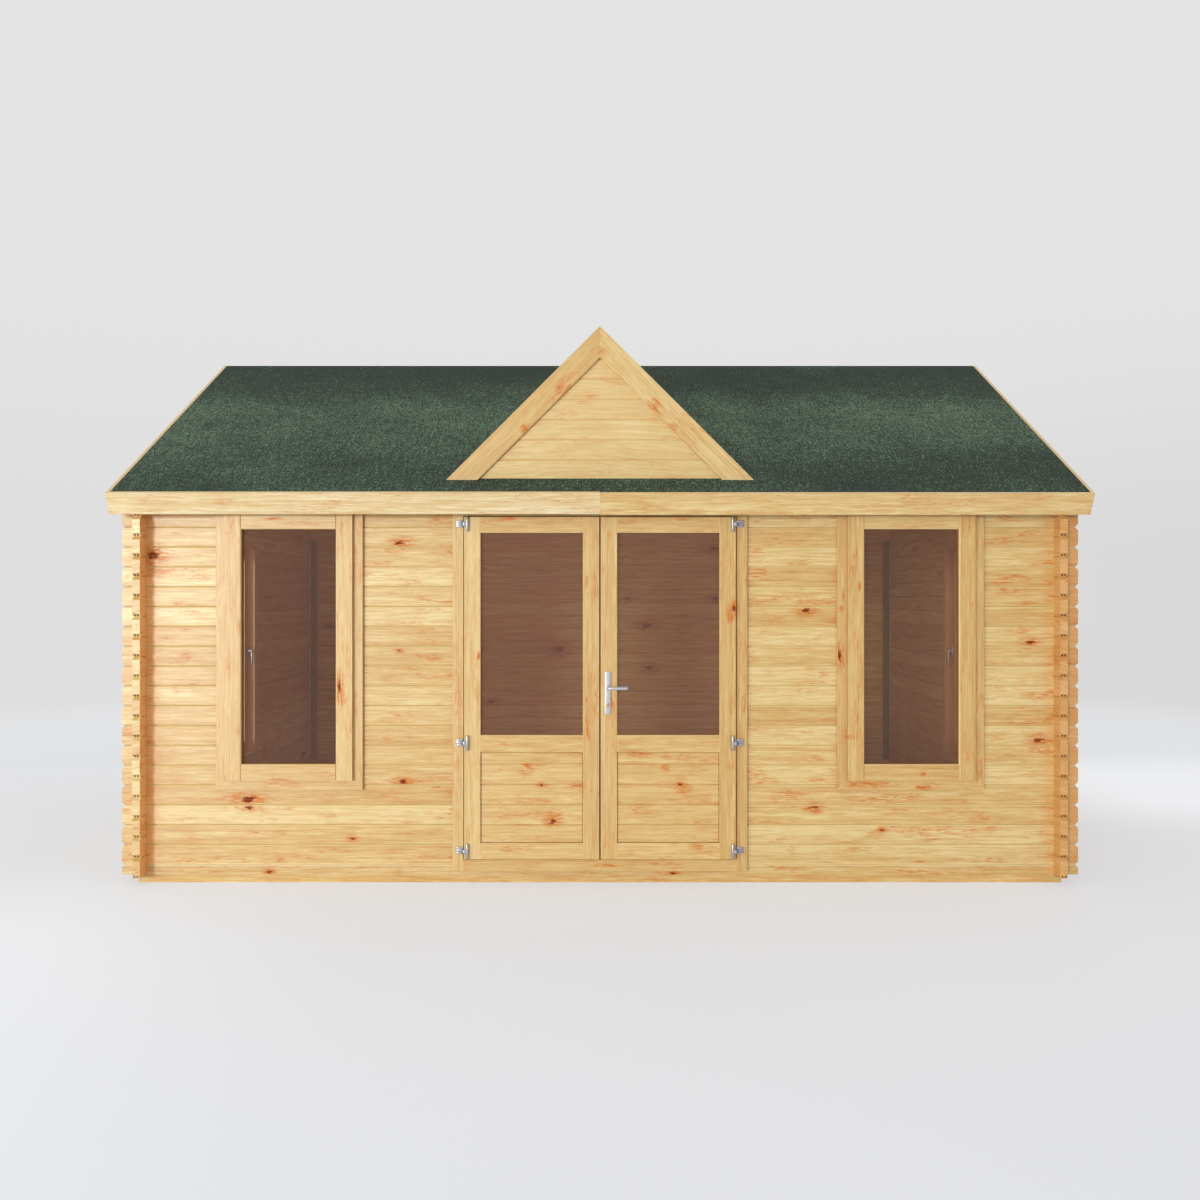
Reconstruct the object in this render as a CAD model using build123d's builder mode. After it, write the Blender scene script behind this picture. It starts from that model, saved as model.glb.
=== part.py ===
"""Garden log cabin with a decorative front gable, glazed double doors and four windows.

Frame: origin on the ground at the middle of the footprint, +X to the right, the front faces -Y, +Z up.
All sizes are in millimetres.
"""

from build123d import *
import os
from math import cos, radians, sin, tan

# ---------------------------------------------------------------- driving dimensions
# Walls
CABIN_WIDTH = 5300.0  # over the outer faces of the side walls
CABIN_DEPTH = 3800.0  # over the outer faces of the front and back walls
LOG_COURSE = 114.0  # height that one log covers
LOG_THICK = 44.0
LOG_OVERHANG = 97.0  # log ends past the wall that they cross
V_JOINT = 7.0  # bevel along the bedding edges of a log's weather face
END_BEVEL = 18.0  # bevel across the top and bottom corners of a log end

# Floor
BEARER_HEIGHT = 45.0
BEARER_WIDTH = 45.0
JOIST_SPACING = 470.0  # upper limit, bearers are spread evenly
FLOOR_THICK = 19.0
FLOOR_CLEARANCE = 6.0  # expansion gap between floor and walls

# Main roof
EAVES_HEIGHT = 2290.0  # underside of the roof boards at the front wall's outer face
ROOF_PITCH = 28.4  # degrees
EAVES_OVERHANG = 160.0  # felt edge past the front wall, measured level
ROOF_END_CLEARANCE = 4.0  # log ends to bargeboards
ROOF_BOARD = 19.0
FELT = 2.4
TRIM_BOARD_WIDTH = 130.0  # fascias and bargeboards
FASCIA_THICK = 20.0
FASCIA_LIFT = 3.0  # fascia top above the felt
FASCIA_STEP = 4.0  # the right front board is fixed this much lower than the left
BOARD_JOINT = 0.6  # hairline gap where two like boards meet
BARGE_THICK = 19.0
PURLIN_WIDTH = 44.0
PURLIN_HEIGHT = 140.0
PURLIN_SPACING = 950.0

# Decorative front gable on the roof
GABLE_WIDTH = 1768.0  # over the bargeboards where they meet the roof
GABLE_PITCH = 45.0  # degrees
GABLE_SETOUT = 7.0  # bargeboard face in front of the front wall
GABLE_BOARD_WIDTH = 127.0
GABLE_BOARD_THICK = 20.0
CLADDING_THICK = 19.0
CLADDING_COVER = 116.5
CLADDING_GROOVE = 5.0

# Joinery shared by windows and doors
CASING_THICK = 20.0  # trim boards on both faces of the wall
LINING_CLEARANCE = 3.0  # lining to the cut log ends
FACE_PROUD = 22.0  # sash and door faces in front of the casing
GLASS = 6.0
GLASS_REBATE = 10.0  # glass edge held inside stile and rail

# Windows
SASH_WIDTH = 731.0
SASH_HEIGHT = 1533.0
SASH_STILE = 95.5
SASH_LIP = 15.0  # sash face overlap on the casing
SASH_BODY = 34.0  # sash thickness behind the lip
SASH_FIT = 2.0
SASH_MOULD = 6.0  # bevel round the glass
WINDOW_CASING = 55.0  # casing that shows round the sash
WINDOW_LINING = 26.0  # lining thickness inside the wall opening
WINDOW_GLASS_SET = 30.0  # glass behind the sash face
FRONT_WINDOW_INSET = 870.0  # middle of a front window from the side wall's outer face
WINDOW_HEAD_DROP = 168.5  # top of the front sashes under the eaves height
SIDE_WINDOW_Y = -215.0
SIDE_WINDOW_DROP = 120.0  # side windows sit lower than the front ones

# Doors
DOOR_BOTTOM = 140.0
DOOR_HEAD_DROP = 194.0  # top of the leaves under the eaves height
DOOR_HALF = 776.0  # centre line to the hinge edge of a leaf
DOOR_THICK = 44.0
MEETING_GAP = 8.0
MEETING_BEVEL = 4.0  # extra relief at the back of each meeting edge
DOOR_GAP = 6.0  # leaf to frame
DOOR_CASING = 62.0  # casing that shows beside a leaf
DOOR_SILL = 66.0  # casing below the leaves
DOOR_LINING = 25.0
STOP_GAP = 10.0  # leaf back to door stop
STOP_COVER = 16.0  # stop past the leaf edge
DOOR_STILE = 94.0
DOOR_TOP_RAIL = 91.0
DOOR_MID_RAIL = 99.0
DOOR_BOTTOM_RAIL = 94.0
DOOR_PANEL_HEIGHT = 518.0
PANEL_THICK = 24.0
PANEL_SET = 10.0
PANEL_COVER = 115.7
PANEL_FIRST_BOARD = 102.0
PANEL_GROOVE = 4.0

# Door hinges
BOTTOM_HINGE_RISE = 48.0  # lowest hinge above the foot of the leaf
MIDDLE_HINGE_RISE = 54.0  # middle hinge above the foot of the middle rail
TOP_HINGE_DROP = 39.0  # highest hinge under the top of the leaf
HINGE_INSET = 19.0  # pin axis in from the leaf edge
HINGE_STANDOFF = 12.0  # pin axis in front of the leaf face
BARREL_DIAMETER = 16.0
BARREL_LENGTH = 88.0
BARREL_SPLIT = 8.0  # top of the frame-side barrel above the bracket's centre
BARREL_BEVEL = 3.0
BARREL_SIDES = 12
PIN_DIAMETER = 8.0
PIN_CLEARANCE = 0.3
PIN_CAP = 6.0
BRACKET_WIDTH = 42.0
BRACKET_HEIGHT = 39.0
BRACKET_PLATE = 4.0
BRACKET_GAP = 4.0  # leaf edge to bracket
BRACKET_RIB = 11.0
BRACKET_RISE = 6.0  # ribs in front of the bracket's plate
RIB_SLOPE = 65.0  # degrees, sides of a rib
ARM_HEIGHT = 12.0
ARM_THICK = 6.0
FOOT_WIDTH = 7.0
FOOT_HEIGHT = 8.0

# Door furniture
PLATE_X = 44.0
PLATE_Z = 1092.0
PLATE_WIDTH = 33.0
PLATE_HEIGHT = 248.0
PLATE_THICK = 8.0
PLATE_CORNER = 8.0
LEVER_RISE = 28.0  # lever above the middle of the plate
LEVER_REACH = 124.0
LEVER_DIAMETER = 18.0
LEVER_STANDOFF = 44.0  # grip axis in front of the plate
HUB_DIAMETER = 20.0
HUB_CLEARANCE = 0.7
ROUND_SIDES = 12  # flats on the lever, its hub and their holes
SPINDLE_DIAMETER = 9.0
SPINDLE_HOLE = 16.0
KEY_DROP = 66.0  # lock under the middle of the plate
KEY_DIAMETER = 17.0
KEY_BODY_WIDTH = 10.0
KEY_BODY_DROP = 16.0
KEY_PROUD = 3.0
KEY_CLEARANCE = 0.2
KEY_SIDES = 12

# Window handles, inside
CATCH_PLATE_WIDTH = 28.0
CATCH_PLATE_HEIGHT = 70.0
CATCH_PLATE_THICK = 10.0
CATCH_NECK = 16.0
CATCH_SIDES = 8
CATCH_NECK_LENGTH = 22.0
CATCH_GRIP_LENGTH = 115.0
CATCH_GRIP_WIDTH = 20.0
CATCH_GRIP_THICK = 12.0

# ---------------------------------------------------------------- derived sizes
HALF_WIDTH = CABIN_WIDTH / 2
HALF_DEPTH = CABIN_DEPTH / 2
FIRST_FRONT_JOINT = BEARER_HEIGHT + LOG_COURSE / 2
FIRST_SIDE_JOINT = BEARER_HEIGHT + LOG_COURSE

COS = cos(radians(ROOF_PITCH))
SIN = sin(radians(ROOF_PITCH))
TAN = tan(radians(ROOF_PITCH))
ROOF_BUILD = ROOF_BOARD + FELT
RIDGE_UNDERSIDE = EAVES_HEIGHT + HALF_DEPTH * TAN
ROOF_LENGTH = CABIN_WIDTH + 2 * (LOG_OVERHANG + ROOF_END_CLEARANCE)  # boards and felt along the ridge
SLOPE_LENGTH = (HALF_DEPTH + EAVES_OVERHANG - ROOF_BUILD * SIN) / COS
FASCIA_LENGTH = ROOF_LENGTH / 2 + BARGE_THICK

GABLE_FRONT = HALF_DEPTH + GABLE_SETOUT
GABLE_TAN = tan(radians(GABLE_PITCH))
GABLE_COS = cos(radians(GABLE_PITCH))

FRONT_WINDOW_X = HALF_WIDTH - FRONT_WINDOW_INSET
FRONT_WINDOW_Z = EAVES_HEIGHT - WINDOW_HEAD_DROP - SASH_HEIGHT / 2
SIDE_WINDOW_Z = FRONT_WINDOW_Z - SIDE_WINDOW_DROP

DOOR_TOP = EAVES_HEIGHT - DOOR_HEAD_DROP
DOOR_FACE = HALF_DEPTH + CASING_THICK + FACE_PROUD  # distance of the leaf faces in front of the origin
DOOR_BACK = DOOR_FACE - DOOR_THICK
LEAF_INNER = MEETING_GAP / 2
PANEL_BOTTOM = DOOR_BOTTOM + DOOR_BOTTOM_RAIL
PANEL_TOP = PANEL_BOTTOM + DOOR_PANEL_HEIGHT
DOOR_GLASS_BOTTOM = PANEL_TOP + DOOR_MID_RAIL
DOOR_GLASS_TOP = DOOR_TOP - DOOR_TOP_RAIL
HINGE_X = DOOR_HALF - HINGE_INSET
HINGE_Y = -(DOOR_FACE + HINGE_STANDOFF)
HINGE_HEIGHTS = (DOOR_BOTTOM + BOTTOM_HINGE_RISE, PANEL_TOP + MIDDLE_HINGE_RISE, DOOR_TOP - TOP_HINGE_DROP)
LEVER_Z = PLATE_Z + LEVER_RISE
KEY_Z = PLATE_Z - KEY_DROP

FRAME_INNER_X = DOOR_HALF + DOOR_GAP
FRAME_OUTER_X = FRAME_INNER_X + DOOR_CASING
FRAME_INNER_TOP = DOOR_TOP + DOOR_GAP
FRAME_OUTER_TOP = FRAME_INNER_TOP + DOOR_CASING
FRAME_INNER_BOTTOM = DOOR_BOTTOM - DOOR_GAP
FRAME_OUTER_BOTTOM = FRAME_INNER_BOTTOM - DOOR_SILL
DOORWAY_X = FRAME_INNER_X + DOOR_LINING + LINING_CLEARANCE
DOORWAY_TOP = FRAME_INNER_TOP + DOOR_LINING + LINING_CLEARANCE

FRONT_PLANE = Plane.XZ.offset(HALF_DEPTH)  # outer face of the front wall, facing out


# ---------------------------------------------------------------- log walls
def bed_joints(first, top):
    """Heights of the bedding joints, from the first up to half a course under the top."""
    count = int((top - LOG_COURSE / 2 - first) // LOG_COURSE) + 1
    return [first + LOG_COURSE * course for course in range(count)]


FRONT_JOINTS = bed_joints(FIRST_FRONT_JOINT, EAVES_HEIGHT)
# The front and back logs pass the corner on the middle half of their height.
FRONT_NECKS = [
    (joint + LOG_COURSE / 4, joint + 3 * LOG_COURSE / 4)
    for joint in [FIRST_FRONT_JOINT - LOG_COURSE] + FRONT_JOINTS
]


def log_section(outer, inner, bottom, joints, outer_top, inner_top):
    """Outline of a stack of logs between two wall faces, with a V on the weather face at every bedding joint."""
    inward = 1 if inner > outer else -1
    outline = [(outer, bottom)]
    for joint in joints:
        outline += [(outer, joint - V_JOINT), (outer + inward * V_JOINT, joint), (outer, joint + V_JOINT)]
    return outline + [(outer, outer_top), (inner, inner_top), (inner, bottom)]


def corner_gaps():
    """Heights between the front logs' necks, where the side logs pass the corner."""
    tops = [top for _, top in FRONT_NECKS]
    bottoms = [bottom for bottom, _ in FRONT_NECKS[1:]] + [RIDGE_UNDERSIDE]
    return list(zip(tops, bottoms))


def front_logs(left, right, bottom, top, openings=()):
    """Stack of front wall logs between two X positions, lapped where it passes a side wall."""
    joints = [joint for joint in FRONT_JOINTS if bottom < joint < top]
    inner_top = top + LOG_THICK * TAN if top == EAVES_HEIGHT else top
    with BuildPart() as wall:
        with BuildSketch(Plane.YZ.offset(left)):
            with BuildLine():
                Polyline(
                    *log_section(-HALF_DEPTH, LOG_THICK - HALF_DEPTH, bottom, joints, top, inner_top),
                    close=True,
                )
            make_face()
        extrude(amount=right - left)
        for side, end in ((-1, left), (1, right)):
            if abs(end) <= HALF_WIDTH:
                continue
            with BuildSketch(FRONT_PLANE):
                for low, high in corner_gaps():
                    with Locations((side * (HALF_WIDTH - LOG_THICK / 2), (low + high) / 2)):
                        Rectangle(LOG_THICK, high - low)
                for joint in FRONT_JOINTS:
                    with BuildLine():
                        Polyline(
                            (end, joint - END_BEVEL),
                            (end, joint + END_BEVEL),
                            (end - side * END_BEVEL, joint),
                            close=True,
                        )
                    make_face()
            extrude(amount=-LOG_THICK, mode=Mode.SUBTRACT)
        for middle_x, middle_z, width, height in openings:
            with BuildSketch(FRONT_PLANE):
                with Locations((middle_x, middle_z)):
                    Rectangle(width, height)
            extrude(amount=-LOG_THICK, mode=Mode.SUBTRACT)
    return wall.part


def roof_underside(y):
    """Height of the underside of the roof boards at a depth Y."""
    return RIDGE_UNDERSIDE - abs(y) * TAN


def left_side_logs(opening):
    """Left side wall: a stack of logs from the bearer to the roof slopes, lapped at both corners."""
    joints = bed_joints(FIRST_SIDE_JOINT, RIDGE_UNDERSIDE + LOG_COURSE / 2)
    end = HALF_DEPTH + LOG_OVERHANG
    above = RIDGE_UNDERSIDE + LOG_COURSE
    with BuildPart() as wall:
        with BuildSketch(Plane.XZ.offset(-end)):
            with BuildLine():
                Polyline(
                    *log_section(-HALF_WIDTH, LOG_THICK - HALF_WIDTH, BEARER_HEIGHT, joints, above, above),
                    close=True,
                )
            make_face()
        extrude(amount=2 * end)
        with BuildSketch(Plane.YZ.offset(-HALF_WIDTH)):
            with BuildLine():
                Polyline(
                    (-end, roof_underside(end)),
                    (0, RIDGE_UNDERSIDE),
                    (end, roof_underside(end)),
                    (end, above),
                    (-end, above),
                    close=True,
                )
            make_face()
            for side in (-1, 1):
                for low, high in FRONT_NECKS:
                    with Locations((side * (HALF_DEPTH - LOG_THICK / 2), (low + high) / 2)):
                        Rectangle(LOG_THICK, high - low)
                for joint in joints:
                    with BuildLine():
                        Polyline(
                            (side * end, joint - END_BEVEL),
                            (side * end, joint + END_BEVEL),
                            (side * (end - END_BEVEL), joint),
                            close=True,
                        )
                    make_face()
            for y in (-PURLIN_SPACING, 0, PURLIN_SPACING):
                with Locations((y, roof_underside(y) - PURLIN_HEIGHT / 2 + PURLIN_WIDTH * TAN / 2)):
                    Rectangle(PURLIN_WIDTH, PURLIN_HEIGHT + PURLIN_WIDTH * TAN)
            with Locations((opening[0], opening[1])):
                Rectangle(opening[2], opening[3])
        extrude(amount=LOG_THICK, mode=Mode.SUBTRACT)
    return wall.part


def purlin(y):
    """Purlin through both side walls, its top bevelled to the roof boards."""
    low = roof_underside(y) - PURLIN_HEIGHT
    edge_heights = [roof_underside(y + offset * PURLIN_WIDTH / 2) for offset in (-1, 0, 1)]
    with BuildPart() as beam:
        with BuildSketch(Plane.YZ.offset(-ROOF_LENGTH / 2)):
            with BuildLine():
                Polyline(
                    (y - PURLIN_WIDTH / 2, low),
                    (y - PURLIN_WIDTH / 2, edge_heights[0]),
                    (y, edge_heights[1]),
                    (y + PURLIN_WIDTH / 2, edge_heights[2]),
                    (y + PURLIN_WIDTH / 2, low),
                    close=True,
                )
            make_face()
        extrude(amount=ROOF_LENGTH)
    return beam.part


# ---------------------------------------------------------------- roof
def slope_point(along, lift):
    """(Y, Z) on the front slope: distance up the slope from the eaves cut, height square to the boards."""
    return (
        (along - SLOPE_LENGTH) * COS - lift * SIN,
        RIDGE_UNDERSIDE + (along - SLOPE_LENGTH) * SIN + lift * COS,
    )


def slope_band(low, high, start, length, short=0.0):
    """Layer of the front slope between two heights square to the boards.

    It runs from the eaves cut to the ridge, or stops short of the ridge by a level distance.
    """
    ridge = RIDGE_UNDERSIDE - short * TAN
    with BuildPart() as band:
        with BuildSketch(Plane.YZ.offset(start)):
            with BuildLine():
                Polyline(
                    slope_point(0, low),
                    slope_point(0, high),
                    (-short, ridge + high / COS),
                    (-short, ridge + low / COS),
                    close=True,
                )
            make_face()
        extrude(amount=length)
    return band.part


def fascia(start, length, drop):
    """Front fascia board, square to the slope against the eaves cut."""
    top = ROOF_BUILD + FASCIA_LIFT - drop
    with BuildPart() as board:
        with BuildSketch(Plane.YZ.offset(start)):
            with BuildLine():
                Polyline(
                    slope_point(0, top - TRIM_BOARD_WIDTH),
                    slope_point(0, top),
                    slope_point(-FASCIA_THICK, top),
                    slope_point(-FASCIA_THICK, top - TRIM_BOARD_WIDTH),
                    close=True,
                )
            make_face()
        extrude(amount=length)
    return board.part


def below_felt():
    """Everything under the main roof's front felt surface, to trim what stands on it."""
    reach = HALF_DEPTH + EAVES_OVERHANG
    with BuildPart(mode=Mode.PRIVATE) as wedge:
        with BuildSketch(Plane.YZ.offset(-GABLE_WIDTH)):
            with BuildLine():
                Polyline(
                    (-reach, felt_height(reach)),
                    (0, felt_height(0)),
                    (0, 0),
                    (-reach, 0),
                    close=True,
                )
            make_face()
        extrude(amount=2 * GABLE_WIDTH)
    return wedge.part


def felt_height(distance):
    """Height of the main roof's felt surface at a level distance in front of the ridge."""
    return RIDGE_UNDERSIDE + ROOF_BUILD / COS - distance * TAN


GABLE_BASE = felt_height(GABLE_FRONT)
GABLE_APEX = GABLE_BASE + GABLE_WIDTH / 2 * GABLE_TAN


def gable_layer(inner, outer, front, back, halves=(-1, 1), short=0.0):
    """Layer of the front gable's roof between two depths square to its slopes, cut to the main roof.

    It covers the right half, the left half or both, and stops short of the ridge by a level distance.
    """
    high = GABLE_APEX - inner / GABLE_COS
    low = GABLE_APEX - outer / GABLE_COS
    foot = GABLE_BASE - GABLE_BOARD_WIDTH
    with BuildPart() as layer:
        with BuildSketch(Plane.XZ.offset(front)):
            for half in halves:
                with BuildLine():
                    Polyline(
                        (half * short, high - short * GABLE_TAN),
                        (half * (high - foot) / GABLE_TAN, foot),
                        (half * (low - foot) / GABLE_TAN, foot),
                        (half * short, low - short * GABLE_TAN),
                        close=True,
                    )
                make_face()
        extrude(amount=back - front)
        add(below_felt(), mode=Mode.SUBTRACT)
    return layer.part


def gable_cladding():
    """Boarded triangle of the front gable, grooved at every board joint."""
    apex = GABLE_APEX - ROOF_BUILD / GABLE_COS
    front = GABLE_FRONT - GABLE_BOARD_THICK
    foot = GABLE_BASE - GABLE_BOARD_WIDTH
    joints = int((apex - GABLE_BASE) // CLADDING_COVER)
    with BuildPart() as panel:
        with BuildSketch(Plane.XZ.offset(front)):
            with BuildLine():
                Polyline(
                    (0, apex),
                    ((apex - foot) / GABLE_TAN, foot),
                    ((foot - apex) / GABLE_TAN, foot),
                    close=True,
                )
            make_face()
        extrude(amount=-CLADDING_THICK)
        with BuildSketch(Plane.YZ.offset(-GABLE_WIDTH / 2)):
            for board in range(1, joints + 1):
                joint = GABLE_BASE + board * CLADDING_COVER
                with BuildLine():
                    Polyline(
                        (-front, joint - CLADDING_GROOVE),
                        (-front, joint + CLADDING_GROOVE),
                        (CLADDING_GROOVE - front, joint),
                        close=True,
                    )
                make_face()
        extrude(amount=GABLE_WIDTH, mode=Mode.SUBTRACT)
        add(below_felt(), mode=Mode.SUBTRACT)
    return panel.part


# ---------------------------------------------------------------- windows
WINDOW_INNER_WIDTH = SASH_WIDTH - 2 * SASH_LIP + 2 * SASH_FIT
WINDOW_INNER_HEIGHT = SASH_HEIGHT - 2 * SASH_LIP + 2 * SASH_FIT
WINDOW_CUT_WIDTH = WINDOW_INNER_WIDTH + 2 * (WINDOW_LINING + LINING_CLEARANCE)
WINDOW_CUT_HEIGHT = WINDOW_INNER_HEIGHT + 2 * (WINDOW_LINING + LINING_CLEARANCE)
LIGHT_WIDTH = SASH_WIDTH - 2 * SASH_STILE
LIGHT_HEIGHT = SASH_HEIGHT - 2 * SASH_STILE


def window_frame(face):
    """Casings on both faces of the wall joined by the lining in the opening."""
    with BuildPart() as frame:
        with BuildSketch(face.offset(-LOG_THICK - CASING_THICK)):
            Rectangle(SASH_WIDTH + 2 * WINDOW_CASING, SASH_HEIGHT + 2 * WINDOW_CASING)
        extrude(amount=CASING_THICK)
        with BuildSketch(face.offset(-LOG_THICK)):
            Rectangle(WINDOW_INNER_WIDTH + 2 * WINDOW_LINING, WINDOW_INNER_HEIGHT + 2 * WINDOW_LINING)
        extrude(amount=LOG_THICK)
        with BuildSketch(face):
            Rectangle(SASH_WIDTH + 2 * WINDOW_CASING, SASH_HEIGHT + 2 * WINDOW_CASING)
        extrude(amount=CASING_THICK)
        with BuildSketch(face.offset(CASING_THICK)):
            Rectangle(WINDOW_INNER_WIDTH, WINDOW_INNER_HEIGHT)
        extrude(amount=-LOG_THICK - 2 * CASING_THICK, mode=Mode.SUBTRACT)
    return frame.part


def window_pane(face):
    """Glass pane, its edge held in the sash."""
    with BuildPart() as pane:
        with BuildSketch(face.offset(CASING_THICK + FACE_PROUD - WINDOW_GLASS_SET)):
            Rectangle(LIGHT_WIDTH + 2 * GLASS_REBATE, LIGHT_HEIGHT + 2 * GLASS_REBATE)
        extrude(amount=-GLASS)
    return pane.part


def window_sash(face):
    """Sash with a lip on the casing, a bevel round the light and a groove for the glass."""
    sash_face = face.offset(CASING_THICK + FACE_PROUD)
    with BuildPart() as sash:
        with BuildSketch(sash_face):
            Rectangle(SASH_WIDTH, SASH_HEIGHT)
        extrude(amount=-FACE_PROUD)
        with BuildSketch(face.offset(CASING_THICK)):
            Rectangle(SASH_WIDTH - 2 * SASH_LIP, SASH_HEIGHT - 2 * SASH_LIP)
        extrude(amount=-SASH_BODY)
        with BuildSketch(sash_face):
            Rectangle(LIGHT_WIDTH, LIGHT_HEIGHT)
        extrude(amount=-FACE_PROUD - SASH_BODY, mode=Mode.SUBTRACT)
        with BuildSketch(sash_face):
            Rectangle(LIGHT_WIDTH, LIGHT_HEIGHT)
        extrude(amount=-SASH_MOULD, taper=-45, mode=Mode.SUBTRACT)
        add(window_pane(face), mode=Mode.SUBTRACT)
    return sash.part


def window_catch(face, side):
    """Inside turn handle on one stile of the sash."""
    stile_middle = side * (SASH_WIDTH - SASH_STILE) / 2
    sash_back = face.offset(CASING_THICK - SASH_BODY)
    with BuildPart() as catch:
        with BuildSketch(sash_back):
            with Locations((stile_middle, 0)):
                Rectangle(CATCH_PLATE_WIDTH, CATCH_PLATE_HEIGHT)
        extrude(amount=-CATCH_PLATE_THICK)
        with BuildSketch(sash_back.offset(-CATCH_PLATE_THICK)):
            with Locations((stile_middle, 0)):
                RegularPolygon(CATCH_NECK / 2, CATCH_SIDES)
        extrude(amount=-CATCH_NECK_LENGTH)
        with BuildSketch(sash_back.offset(-CATCH_PLATE_THICK - CATCH_NECK_LENGTH)) as grip:
            with Locations((stile_middle, (CATCH_GRIP_WIDTH - CATCH_GRIP_LENGTH) / 2)):
                Rectangle(CATCH_GRIP_WIDTH, CATCH_GRIP_LENGTH)
            chamfer(grip.vertices(), CATCH_GRIP_WIDTH / 4)
        extrude(amount=-CATCH_GRIP_THICK)
    return catch.part


# ---------------------------------------------------------------- doors
def door_frame():
    """Casings, lining, threshold and stops round the doorway."""
    layers = (
        (CASING_THICK, 0, FRAME_OUTER_X, FRAME_OUTER_BOTTOM, FRAME_OUTER_TOP),
        (0, -LOG_THICK, FRAME_INNER_X + DOOR_LINING, FIRST_FRONT_JOINT, FRAME_INNER_TOP + DOOR_LINING),
        (-LOG_THICK, -LOG_THICK - CASING_THICK, FRAME_OUTER_X, FRAME_OUTER_BOTTOM, FRAME_OUTER_TOP),
    )
    stop_face = DOOR_BACK - STOP_GAP - HALF_DEPTH
    back = -LOG_THICK - CASING_THICK
    with BuildPart() as frame:
        for outer_face, inner_face, half_width, bottom, top in layers:
            with BuildSketch(FRONT_PLANE.offset(outer_face)):
                with Locations((0, (bottom + top) / 2)):
                    Rectangle(2 * half_width, top - bottom)
            extrude(amount=inner_face - outer_face)
        with BuildSketch(FRONT_PLANE.offset(CASING_THICK)):
            with Locations((0, (FRAME_INNER_BOTTOM + FRAME_INNER_TOP) / 2)):
                Rectangle(2 * FRAME_INNER_X, FRAME_INNER_TOP - FRAME_INNER_BOTTOM)
        extrude(amount=stop_face - CASING_THICK, mode=Mode.SUBTRACT)
        with BuildSketch(FRONT_PLANE.offset(stop_face)):
            with Locations((0, (DOOR_BOTTOM + DOOR_TOP) / 2)):
                Rectangle(2 * (DOOR_HALF - STOP_COVER), DOOR_TOP - DOOR_BOTTOM - 2 * STOP_COVER)
        extrude(amount=back - stop_face, mode=Mode.SUBTRACT)
    return frame.part


def leaf_pane():
    """Glass of the right-hand leaf, its edge held in stiles and rails."""
    middle_x = (LEAF_INNER + DOOR_HALF) / 2
    width = DOOR_HALF - LEAF_INNER - 2 * DOOR_STILE + 2 * GLASS_REBATE
    height = DOOR_GLASS_TOP - DOOR_GLASS_BOTTOM + 2 * GLASS_REBATE
    with BuildPart() as pane:
        with BuildSketch(Plane.XZ.offset(DOOR_FACE - (DOOR_THICK - GLASS) / 2)):
            with Locations((middle_x, (DOOR_GLASS_BOTTOM + DOOR_GLASS_TOP) / 2)):
                Rectangle(width, height)
        extrude(amount=-GLASS)
    return pane.part


def key_profile(clearance):
    """Lock cylinder through the right-hand leaf: round barrel with a flat body under it."""
    front = DOOR_FACE + PLATE_THICK + KEY_PROUD
    length = DOOR_THICK + 2 * (PLATE_THICK + KEY_PROUD)
    with BuildPart() as cylinder:
        with BuildSketch(Plane.XZ.offset(front)):
            with Locations((PLATE_X, KEY_Z)):
                RegularPolygon(KEY_DIAMETER / 2 + clearance, KEY_SIDES)
            with Locations((PLATE_X, KEY_Z - KEY_BODY_DROP / 2)):
                Rectangle(KEY_BODY_WIDTH + 2 * clearance, KEY_BODY_DROP + 2 * clearance)
        extrude(amount=-length)
    return cylinder.part


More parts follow.
